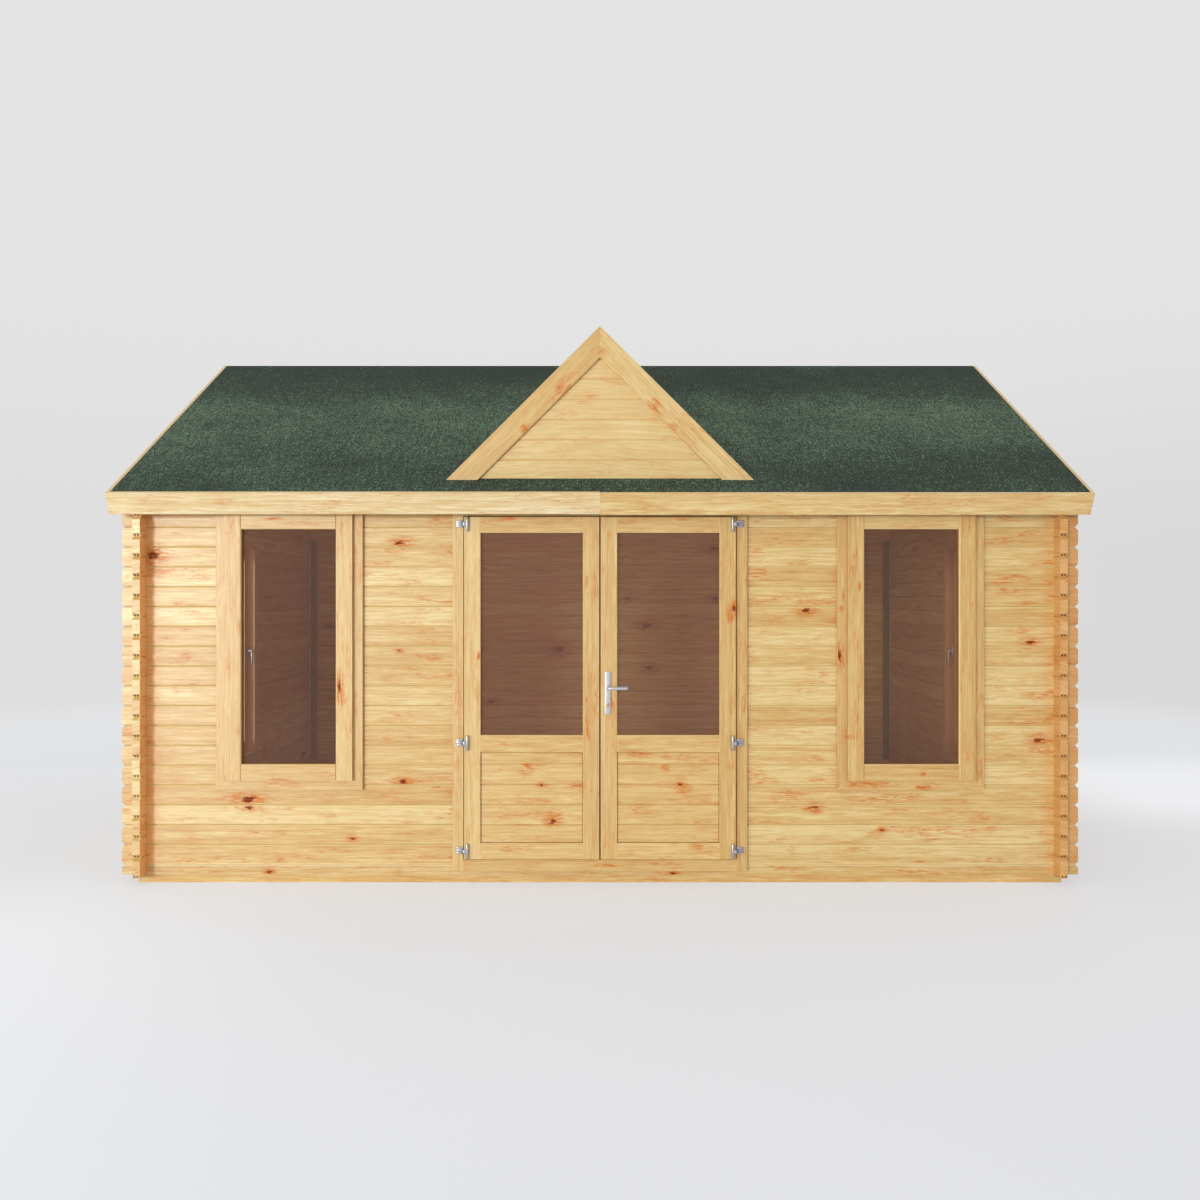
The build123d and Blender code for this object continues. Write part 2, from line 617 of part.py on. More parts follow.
def door_leaf(lock):
    """Right-hand door leaf: stiles and rails round a glazed light and a boarded panel.

    With lock set it is cut for the lever's spindle and the lock cylinder.
    """
    light_half = (DOOR_HALF - LEAF_INNER) / 2 - DOOR_STILE
    middle_x = (LEAF_INNER + DOOR_HALF) / 2
    with BuildPart() as leaf:
        with BuildSketch(Plane.XY.offset(DOOR_BOTTOM)):
            with BuildLine():
                Polyline(
                    (LEAF_INNER, -DOOR_FACE),
                    (DOOR_HALF, -DOOR_FACE),
                    (DOOR_HALF, -DOOR_BACK),
                    (LEAF_INNER + MEETING_BEVEL, -DOOR_BACK),
                    close=True,
                )
            make_face()
        extrude(amount=DOOR_TOP - DOOR_BOTTOM)
        with BuildSketch(Plane.XZ.offset(DOOR_FACE)):
            with Locations((middle_x, (DOOR_GLASS_BOTTOM + DOOR_GLASS_TOP) / 2)):
                Rectangle(2 * light_half, DOOR_GLASS_TOP - DOOR_GLASS_BOTTOM)
        extrude(amount=-DOOR_THICK, mode=Mode.SUBTRACT)
        with BuildSketch(Plane.XZ.offset(DOOR_FACE)):
            with Locations((middle_x, (PANEL_BOTTOM + PANEL_TOP) / 2)):
                Rectangle(2 * light_half, DOOR_PANEL_HEIGHT)
        extrude(amount=-PANEL_SET, mode=Mode.SUBTRACT)
        with BuildSketch(Plane.XZ.offset(DOOR_BACK)):
            with Locations((middle_x, (PANEL_BOTTOM + PANEL_TOP) / 2)):
                Rectangle(2 * light_half, DOOR_PANEL_HEIGHT)
        extrude(amount=DOOR_THICK - PANEL_SET - PANEL_THICK, mode=Mode.SUBTRACT)
        panel_face = DOOR_FACE - PANEL_SET
        panel_joints = int((DOOR_PANEL_HEIGHT - PANEL_FIRST_BOARD) // PANEL_COVER) + 1
        with BuildSketch(Plane.YZ.offset(middle_x - light_half)):
            for board in range(panel_joints):
                joint = PANEL_BOTTOM + PANEL_FIRST_BOARD + board * PANEL_COVER
                with BuildLine():
                    Polyline(
                        (-panel_face, joint - PANEL_GROOVE),
                        (-panel_face, joint + PANEL_GROOVE),
                        (PANEL_GROOVE - panel_face, joint),
                        close=True,
                    )
                make_face()
        extrude(amount=2 * light_half, mode=Mode.SUBTRACT)
        add(leaf_pane(), mode=Mode.SUBTRACT)
        if lock:
            with BuildSketch(Plane.XZ.offset(DOOR_FACE)):
                with Locations((PLATE_X, LEVER_Z)):
                    RegularPolygon(SPINDLE_HOLE / 2, ROUND_SIDES)
            extrude(amount=-DOOR_THICK, mode=Mode.SUBTRACT)
            add(key_profile(KEY_CLEARANCE), mode=Mode.SUBTRACT)
    return leaf.part


def hinge_leaf_part(height):
    """Upper barrel of a right-hand hinge, bored for the pin and seated on the leaf by two feet."""
    bottom = height + BARREL_SPLIT + PIN_CLEARANCE
    top = height + BARREL_LENGTH / 2
    with BuildPart() as barrel:
        with BuildSketch(Plane.XY.offset(bottom)):
            with Locations((HINGE_X, HINGE_Y)):
                RegularPolygon(BARREL_DIAMETER / 2, BARREL_SIDES)
        extrude(amount=top - bottom)
        chamfer(barrel.faces().sort_by(Axis.Z)[-1].edges(), BARREL_BEVEL)
        with BuildSketch(Plane.XZ.offset(-HINGE_Y)):
            with Locations((HINGE_X, bottom + FOOT_HEIGHT), (HINGE_X, top - FOOT_HEIGHT)):
                Rectangle(FOOT_WIDTH, FOOT_HEIGHT)
        extrude(amount=-HINGE_STANDOFF)
        with BuildSketch(Plane.XY.offset(bottom)):
            with Locations((HINGE_X, HINGE_Y)):
                Circle(PIN_DIAMETER / 2 + PIN_CLEARANCE)
        extrude(amount=top - bottom - PIN_CAP, mode=Mode.SUBTRACT)
    return barrel.part


def hinge_frame_part(height):
    """Lower barrel and pin of a right-hand hinge, carried by a ribbed bracket on the casing."""
    casing_face = -(HALF_DEPTH + CASING_THICK)
    bracket_start = DOOR_HALF + BRACKET_GAP
    split = height + BARREL_SPLIT
    bottom = height - BARREL_LENGTH / 2
    rib_pitch = (BRACKET_HEIGHT - BRACKET_RIB) / 2
    with BuildPart() as hinge:
        with BuildSketch(Plane.XY.offset(bottom)):
            with Locations((HINGE_X, HINGE_Y)):
                RegularPolygon(BARREL_DIAMETER / 2, BARREL_SIDES)
        extrude(amount=split - bottom)
        chamfer(hinge.faces().sort_by(Axis.Z)[0].edges(), BARREL_BEVEL)
        with BuildSketch(Plane.XY.offset(split)):
            with Locations((HINGE_X, HINGE_Y)):
                Circle(PIN_DIAMETER / 2)
        extrude(amount=BARREL_LENGTH / 2 - BARREL_SPLIT - PIN_CAP - 2 * PIN_CLEARANCE)
        with BuildSketch(Plane.XY.offset(height - ARM_HEIGHT / 2)):
            with BuildLine():
                Polyline(
                    (HINGE_X, HINGE_Y - ARM_THICK / 2),
                    (bracket_start + ARM_THICK, HINGE_Y - ARM_THICK / 2),
                    (bracket_start + ARM_THICK, casing_face),
                    (bracket_start, casing_face),
                    (bracket_start, HINGE_Y + ARM_THICK / 2),
                    (HINGE_X, HINGE_Y + ARM_THICK / 2),
                    close=True,
                )
            make_face()
        extrude(amount=ARM_HEIGHT)
        with BuildSketch(Plane.XZ.offset(-casing_face)):
            with Locations((bracket_start + BRACKET_WIDTH / 2, height)):
                Rectangle(BRACKET_WIDTH, BRACKET_HEIGHT)
        extrude(amount=BRACKET_PLATE)
        with BuildSketch(Plane.YZ.offset(bracket_start)):
            for row in (-1, 0, 1):
                with Locations((casing_face - BRACKET_PLATE, height + row * rib_pitch)):
                    Trapezoid(BRACKET_RIB, BRACKET_RISE, RIB_SLOPE, rotation=90, align=(Align.CENTER, Align.MIN))
        extrude(amount=BRACKET_WIDTH)
    return hinge.part


def handle_plate(face, outward):
    """Long backplate on one face of the right-hand leaf, bored for the lever hub and the lock cylinder."""
    with BuildPart() as plate:
        with BuildSketch(Plane.XZ.offset(face)) as outline:
            with Locations((PLATE_X, PLATE_Z)):
                Rectangle(PLATE_WIDTH, PLATE_HEIGHT)
            chamfer(outline.vertices(), PLATE_CORNER)
            with Locations((PLATE_X, LEVER_Z)):
                RegularPolygon(HUB_DIAMETER / 2 + HUB_CLEARANCE, ROUND_SIDES, mode=Mode.SUBTRACT)
        extrude(amount=outward * PLATE_THICK)
        add(key_profile(KEY_CLEARANCE), mode=Mode.SUBTRACT)
    return plate.part


def door_lever():
    """Outside and inside levers on one spindle through the right-hand leaf."""
    outside = DOOR_FACE + PLATE_THICK + LEVER_STANDOFF
    inside = DOOR_BACK - PLATE_THICK - LEVER_STANDOFF
    with BuildPart() as lever:
        with BuildSketch(Plane.XZ.offset(DOOR_BACK - HUB_CLEARANCE)):
            with Locations((PLATE_X, LEVER_Z)):
                Circle(SPINDLE_DIAMETER / 2)
        extrude(amount=DOOR_THICK + 2 * HUB_CLEARANCE)
        for face, direction, grip in ((DOOR_FACE, 1, outside), (DOOR_BACK, -1, inside)):
            with BuildSketch(Plane.XZ.offset(face + direction * HUB_CLEARANCE)):
                with Locations((PLATE_X, LEVER_Z)):
                    RegularPolygon(HUB_DIAMETER / 2, ROUND_SIDES)
            extrude(amount=direction * (PLATE_THICK + LEVER_STANDOFF - HUB_CLEARANCE))
            with BuildSketch(Plane.YZ.offset(PLATE_X - LEVER_DIAMETER / 2)):
                with Locations((-grip, LEVER_Z)):
                    RegularPolygon(LEVER_DIAMETER / 2, ROUND_SIDES)
            extrude(amount=LEVER_REACH)
    return lever.part


# ---------------------------------------------------------------- floor
def floor_bearers():
    """Perimeter bearers under the walls, joined by evenly spread joists along the cabin."""
    bays = int(-(-(CABIN_DEPTH - BEARER_WIDTH) // JOIST_SPACING))
    pitch = (CABIN_DEPTH - BEARER_WIDTH) / bays
    with BuildPart() as bearers:
        with BuildSketch():
            with GridLocations(0, pitch, 1, bays + 1):
                Rectangle(CABIN_WIDTH, BEARER_WIDTH)
            with GridLocations(CABIN_WIDTH - BEARER_WIDTH, 0, 2, 1):
                Rectangle(BEARER_WIDTH, CABIN_DEPTH)
        extrude(amount=BEARER_HEIGHT)
    return bearers.part


def floor_boards():
    """Floor laid on the bearers inside the walls."""
    edge = 2 * (LOG_THICK + FLOOR_CLEARANCE)
    with BuildPart() as boards:
        with BuildSketch(Plane.XY.offset(BEARER_HEIGHT)):
            Rectangle(CABIN_WIDTH - edge, CABIN_DEPTH - edge)
        extrude(amount=FLOOR_THICK)
    return boards.part


# ---------------------------------------------------------------- assembly
def write(part, name):
    """Label one finished piece and write it to its own file."""
    part.label = name
    export_step(part, f"parts/{name}.step")


def together(parts):
    """Like solids that don't touch, kept as one node."""
    return Compound(children=list(parts))


def other_side(part):
    """The same piece on the other side of the cabin."""
    return mirror(part, about=Plane.YZ)


def other_slope(part):
    """The same piece on the back of the cabin."""
    return mirror(part, about=Plane.XZ)


os.makedirs("parts", exist_ok=True)

write(floor_bearers(), "floor_bearers")
write(floor_boards(), "floor_boards")

wall_end = HALF_WIDTH + LOG_OVERHANG
front_cut = (FRONT_WINDOW_X, FRONT_WINDOW_Z, WINDOW_CUT_WIDTH, WINDOW_CUT_HEIGHT)
front_right = front_logs(DOORWAY_X, wall_end, FIRST_FRONT_JOINT, EAVES_HEIGHT, [front_cut])
write(front_logs(-wall_end, wall_end, BEARER_HEIGHT, FIRST_FRONT_JOINT), "front_wall_base")
write(front_right, "front_wall_right")
write(other_side(front_right), "front_wall_left")
write(front_logs(-DOORWAY_X, DOORWAY_X, DOORWAY_TOP, EAVES_HEIGHT), "front_wall_head")
write(other_slope(front_logs(-wall_end, wall_end, BEARER_HEIGHT, EAVES_HEIGHT)), "back_wall")

left_wall = left_side_logs((SIDE_WINDOW_Y, SIDE_WINDOW_Z, WINDOW_CUT_WIDTH, WINDOW_CUT_HEIGHT))
write(left_wall, "left_wall")
write(other_side(left_wall), "right_wall")

write(together([purlin(y) for y in (-PURLIN_SPACING, 0, PURLIN_SPACING)]), "purlins")

roof_start = -ROOF_LENGTH / 2
roof_boards = slope_band(0, ROOF_BOARD, roof_start, ROOF_LENGTH)
roof_felt = slope_band(ROOF_BOARD, ROOF_BUILD, roof_start, ROOF_LENGTH)
bargeboard = slope_band(
    ROOF_BUILD - TRIM_BOARD_WIDTH, ROOF_BUILD, ROOF_LENGTH / 2, BARGE_THICK, BOARD_JOINT / 2
)
bargeboards = together([bargeboard, other_slope(bargeboard)])
fascia_left = fascia(-FASCIA_LENGTH, FASCIA_LENGTH - BOARD_JOINT / 2, 0)
fascia_right = fascia(BOARD_JOINT / 2, FASCIA_LENGTH - BOARD_JOINT / 2, FASCIA_STEP)
write(roof_boards, "roof_boards_front")
write(other_slope(roof_boards), "roof_boards_back")
write(roof_felt, "roof_felt_front")
write(other_slope(roof_felt), "roof_felt_back")
write(bargeboards, "bargeboards_right")
write(other_side(bargeboards), "bargeboards_left")
write(fascia_left, "fascia_front_left")
write(fascia_right, "fascia_front_right")
write(other_slope(fascia(-FASCIA_LENGTH, 2 * FASCIA_LENGTH, 0)), "fascia_back")

gable_back = GABLE_FRONT - GABLE_BOARD_THICK
write(gable_layer(0, GABLE_BOARD_WIDTH, GABLE_FRONT, gable_back, [-1]), "gable_bargeboard_left")
write(gable_layer(0, GABLE_BOARD_WIDTH, GABLE_FRONT, gable_back, [1]), "gable_bargeboard_right")
gable_boards = gable_layer(FELT, ROOF_BUILD, gable_back, 0, [1], BOARD_JOINT / 2)
write(together([gable_boards, other_side(gable_boards)]), "gable_roof_boards")
write(gable_layer(0, FELT, gable_back, 0), "gable_roof_felt")
write(gable_cladding(), "gable_cladding")

front_face = Plane(origin=(-FRONT_WINDOW_X, -HALF_DEPTH, FRONT_WINDOW_Z), x_dir=(1, 0, 0), z_dir=(0, -1, 0))
side_face = Plane(origin=(-HALF_WIDTH, SIDE_WINDOW_Y, SIDE_WINDOW_Z), x_dir=(0, -1, 0), z_dir=(-1, 0, 0))
for place, face in (("front", front_face), ("side", side_face)):
    window_pieces = {"frame": window_frame(face), "sash": window_sash(face), "glass": window_pane(face)}
    for piece, solid in window_pieces.items():
        write(solid, f"{place}_window_{piece}_left")
        write(other_side(solid), f"{place}_window_{piece}_right")
left_catches = [window_catch(front_face, 1), window_catch(side_face, -1)]
write(together(left_catches + [other_side(catch) for catch in left_catches]), "window_catches")

write(door_frame(), "door_frame")
write(door_leaf(True), "door_leaf_right")
write(other_side(door_leaf(False)), "door_leaf_left")
write(leaf_pane(), "door_glass_right")
write(other_side(leaf_pane()), "door_glass_left")

right_barrels = together([hinge_leaf_part(height) for height in HINGE_HEIGHTS])
right_brackets = [hinge_frame_part(height) for height in HINGE_HEIGHTS]
write(right_barrels, "hinge_barrels_right")
write(other_side(right_barrels), "hinge_barrels_left")
write(together(right_brackets + [other_side(bracket) for bracket in right_brackets]), "hinge_brackets")

write(together([handle_plate(DOOR_FACE, 1), handle_plate(DOOR_BACK, -1)]), "handle_plates")
write(door_lever(), "door_lever")
write(key_profile(0), "lock_cylinder")
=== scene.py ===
"""Looks of the garden log cabin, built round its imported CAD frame.

Everything is in metres, in the frame's own axes: the front faces -Y, +X is to the right and +Z is up.
"""

import logging
import math
from dataclasses import dataclass, field, replace
from enum import Enum
from typing import Any, Iterable, Sequence

import bmesh
import bpy
from mathutils import Matrix, Vector


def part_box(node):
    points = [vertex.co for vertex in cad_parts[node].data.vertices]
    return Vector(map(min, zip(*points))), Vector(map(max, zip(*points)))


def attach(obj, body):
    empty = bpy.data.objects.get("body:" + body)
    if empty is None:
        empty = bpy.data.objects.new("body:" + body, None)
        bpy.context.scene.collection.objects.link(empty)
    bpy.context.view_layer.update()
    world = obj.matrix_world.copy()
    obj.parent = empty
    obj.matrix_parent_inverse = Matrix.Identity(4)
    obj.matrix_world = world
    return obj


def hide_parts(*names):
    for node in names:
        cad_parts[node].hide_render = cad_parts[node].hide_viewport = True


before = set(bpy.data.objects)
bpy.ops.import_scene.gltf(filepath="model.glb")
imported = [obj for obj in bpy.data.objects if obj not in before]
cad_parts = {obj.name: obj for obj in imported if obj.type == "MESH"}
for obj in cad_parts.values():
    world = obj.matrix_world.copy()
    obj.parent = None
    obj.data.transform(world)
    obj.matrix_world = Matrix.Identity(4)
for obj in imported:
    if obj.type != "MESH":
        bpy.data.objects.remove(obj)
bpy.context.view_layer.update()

LOG = logging.getLogger("cabin")
Material = bpy.types.Material
Node = bpy.types.Node
Socket = bpy.types.NodeSocket
Shape = bmesh.types.BMesh
Triple = tuple[float, float, float]
Colour = Triple
Span = tuple[float, float]
Outline = Sequence[Span]
UP = Vector((0.0, 0.0, 1.0))
RIGHT = Vector((1.0, 0.0, 0.0))
BACKWARD = Vector((0.0, 1.0, 0.0))
# Points nearer than this are one point, and the seeds of a mesh's boards step by this much.
SAME_POINT = 0.00002
SEED_STEP = 0.6180339
# Angles between facets: one face, a sharp edge of a board, and still round; and the cosine of square on.
FLAT = math.radians(0.5)
SHARP = math.radians(20)
LOOKS_ROUND = math.radians(40)
SQUARE_ON = 0.95


def linear(red: int, green: int, blue: int) -> Colour:
    """Turn a display colour into a linear one.

    Args:
        red: Red from 0 to 255.
        green: Green from 0 to 255.
        blue: Blue from 0 to 255.

    Returns:
        The linear colour from 0 to 1.
    """
    values = []
    for channel in (red, green, blue):
        share = channel / 255
        values.append(share / 12.92 if share <= 0.04045 else ((share + 0.055) / 1.055) ** 2.4)
    return values[0], values[1], values[2]


def shaded(colour: Colour, share: float) -> Colour:
    """Scale a colour."""
    return tuple(share * part for part in colour)


def link(thing: bpy.types.Object) -> bpy.types.Object:
    """Put an object into the scene."""
    bpy.context.scene.collection.objects.link(thing)
    return thing


# ---------------------------------------------------------------- node graphs
class Graph:
    """Short calls that add nodes to one node tree and wire them up."""

    def __init__(self, tree: bpy.types.NodeTree) -> None:
        """Take the node tree that the calls add to."""
        self.tree = tree

    def paint(self, shader: Node, colour: Any) -> None:
        """Give a shader its colour."""
        self.feed(shader.inputs["Base Color"], colour)

    def feed(self, socket: Socket, value: Any) -> None:
        """Link a socket to another one, or set its value.

        Args:
            socket: The input to fill.
            value: An output socket, a number, a vector or a colour.
        """
        if isinstance(value, Socket):
            self.tree.links.new(value, socket)
        elif socket.type == "RGBA" and len(value) == 3:
            socket.default_value = (*value, 1.0)
        else:
            socket.default_value = value

    def node(self, kind: str, inputs: dict[str | int, Any] | None = None, **settings: Any) -> Node:
        """Add one node.

        Args:
            kind: The node's Blender type name.
            inputs: What goes into its sockets, by name or place.
            settings: Properties of the node.

        Returns:
            The new node.
        """
        made = self.tree.nodes.new(kind)
        for name, value in settings.items():
            setattr(made, name, value)
        for key, value in (inputs or {}).items():
            self.feed(made.inputs[key], value)
        return made

    def math(self, operation: str, first: Any, second: Any = 0.0, third: Any = 0.0) -> Socket:
        """Add a Math node with up to three operands."""
        return self.node("ShaderNodeMath", {0: first, 1: second, 2: third}, operation=operation).outputs[0]

    def plus(self, first: Any, second: Any) -> Socket:
        """Add two values."""
        return self.math("ADD", first, second)

    def minus(self, first: Any, second: Any) -> Socket:
        """Take the second value from the first."""
        return self.math("SUBTRACT", first, second)

    def times(self, first: Any, second: Any) -> Socket:
        """Multiply two values."""
        return self.math("MULTIPLY", first, second)

    def higher(self, first: Any, second: Any) -> Socket:
        """Keep the higher of two values."""
        return self.math("MAXIMUM", first, second)

    def unsigned(self, value: Any) -> Socket:
        """Drop a value's sign."""
        return self.math("ABSOLUTE", value)

    def line(self, value: Any, slope: Any, base: Any) -> Socket:
        """Multiply a value by a slope and add a base."""
        return self.math("MULTIPLY_ADD", value, slope, base)

    def swing(self, wave: Any, strength: float, base: Any) -> Socket:
        """Add to a base how far a wave is from its middle of 0.5, times a strength."""
        return self.line(self.minus(wave, 0.5), strength, base)

    def vector(self, operation: str, first: Any, second: Any) -> Socket:
        """Add a Vector Math node with two operands."""
        return self.node("ShaderNodeVectorMath", {0: first, 1: second}, operation=operation).outputs[0]

    def combine(self, x: Any, y: Any, z: Any) -> Socket:
        """Join three values into a vector."""
        return self.node("ShaderNodeCombineXYZ", {0: x, 1: y, 2: z}).outputs[0]

    def split(self, vector: Socket) -> tuple[Socket, ...]:
        """Split a vector into its three values."""
        return tuple(self.node("ShaderNodeSeparateXYZ", {0: vector}).outputs)

    def mix(self, share: Any, first: Any, second: Any) -> Socket:
        """Mix two colours by how much of the second one shows."""
        return self.node("ShaderNodeMix", {0: share, 6: first, 7: second}, data_type="RGBA").outputs[2]

    def ease(self, value: Any, low: float, high: float, start: float = 0.0, end: float = 1.0) -> Socket:
        """Map a value smoothly from low..high to start..end, held at both ends."""
        inputs = {0: value, 1: low, 2: high, 3: start, 4: end}
        return self.node("ShaderNodeMapRange", inputs, interpolation_type="SMOOTHSTEP").outputs[0]

    def draw(self, seed: Any) -> Socket:
        """Draw a number from 0 to 1 that is fixed by a seed."""
        return self.node("ShaderNodeTexWhiteNoise", {"W": seed}, noise_dimensions="1D").outputs["Value"]

    def place(self) -> Socket:
        """Read the Object coordinates in metres."""
        return self.node("ShaderNodeTexCoord").outputs["Object"]

    def ramp(self, value: Any, stops: Sequence[tuple[float, Colour]]) -> Socket:
        """Turn a value into a colour.

        Args:
            value: The value.
            stops: Value and colour of each stop, from low to high.

        Returns:
            The colour socket.
        """
        made = self.node("ShaderNodeValToRGB", {0: value})
        elements = made.color_ramp.elements
        (low, first), *middle, (high, last) = stops
        elements[0].position, elements[0].color = low, (*first, 1.0)
        elements[1].position, elements[1].color = high, (*last, 1.0)
        for position, colour in middle:
            elements.new(position).color = (*colour, 1.0)
        return made.outputs[0]

    def relief(self, shader: Node, height: Any, strength: float) -> None:
        """Give a shader fine relief.

        Args:
            shader: The shader.
            height: Height of the relief in metres.
            strength: How strongly it shows.
        """
        bump = self.node("ShaderNodeBump", {"Strength": strength, "Distance": 1.0, "Height": height})
        self.feed(shader.inputs["Normal"], bump.outputs[0])

    def noise(self, vector: Any, scale: Triple, detail: float = 2.0, rough: float = 0.5) -> Socket:
        """Add a noise that may be stretched along its axes.

        Args:
            vector: Place in metres.
            scale: Features to a metre along each axis.
            detail: Octaves.
            rough: Strength of the finer octaves.

        Returns:
            The factor socket.
        """
        stretched = self.vector("MULTIPLY", vector, scale)
        inputs = {"Vector": stretched, "Scale": 1.0, "Detail": detail, "Roughness": rough}
        return self.node("ShaderNodeTexNoise", inputs).outputs["Fac"]


def new_material(name: str) -> tuple[Material, Graph, Node]:
    """Make an empty node material.

    Args:
        name: The material's name.

    Returns:
        The material, a graph on its tree, and its Principled shader, already wired to the output.
    """
    material = bpy.data.materials.new(name)
    material.use_nodes = True
    graph = Graph(material.node_tree)
    graph.tree.nodes.clear()
    shader = graph.node("ShaderNodeBsdfPrincipled")
    graph.node("ShaderNodeOutputMaterial", {"Surface": shader.outputs[0]})
    return material, graph, shader


# ---------------------------------------------------------------- finishes
Spot = tuple[float, float, float, float]


def nearest_spot(graph: Graph, across: Socket, up: Socket, spots: Iterable[Spot]) -> Any:
    """Measure how far a point is from the nearest of a few chosen spots.

    Args:
        graph: Graph of the material.
        across: Place along the wall.
        up: Height.
        spots: Place along the wall, height, half width and half height of each spot.

    Returns:
        A socket that is 1 at a spot's rim, or None where there are no spots.
    """
    nearest = None
    place = graph.combine(across, up, 0.0)
    for centre, height, half_width, half_height in spots:
        scaled = graph.vector("MULTIPLY", place, (1.0 / half_width, 1.0 / half_height, 1.0))
        inputs = {0: scaled, 1: (centre / half_width, height / half_height, 0.0)}
        apart = graph.node("ShaderNodeVectorMath", inputs, operation="DISTANCE").outputs["Value"]
        nearest = apart if nearest is None else graph.math("MINIMUM", nearest, apart)
    return nearest


# Features to a metre along the grain, across it and through it.
STREAKS = (3.6, 112.0, 9.0)
HAIRLINES = (12.0, 280.0, 9.0)
BANDS = (0.9, 30.0, 9.0)
CLOUDS = (5.5, 17.0, 17.0)
DRIFT = (0.9, 3.0, 3.0)
KNOT_CELLS = (1.9, 5.2, 3.0)
RAGGED = (30.0, 95.0, 30.0)
RESIN_PATCHES = (3.4, 13.0, 9.0)
RESIN_DASHES = (17.0, 130.0, 60.0)
SEED_SHIFT = (37.1, 19.7, 11.3)


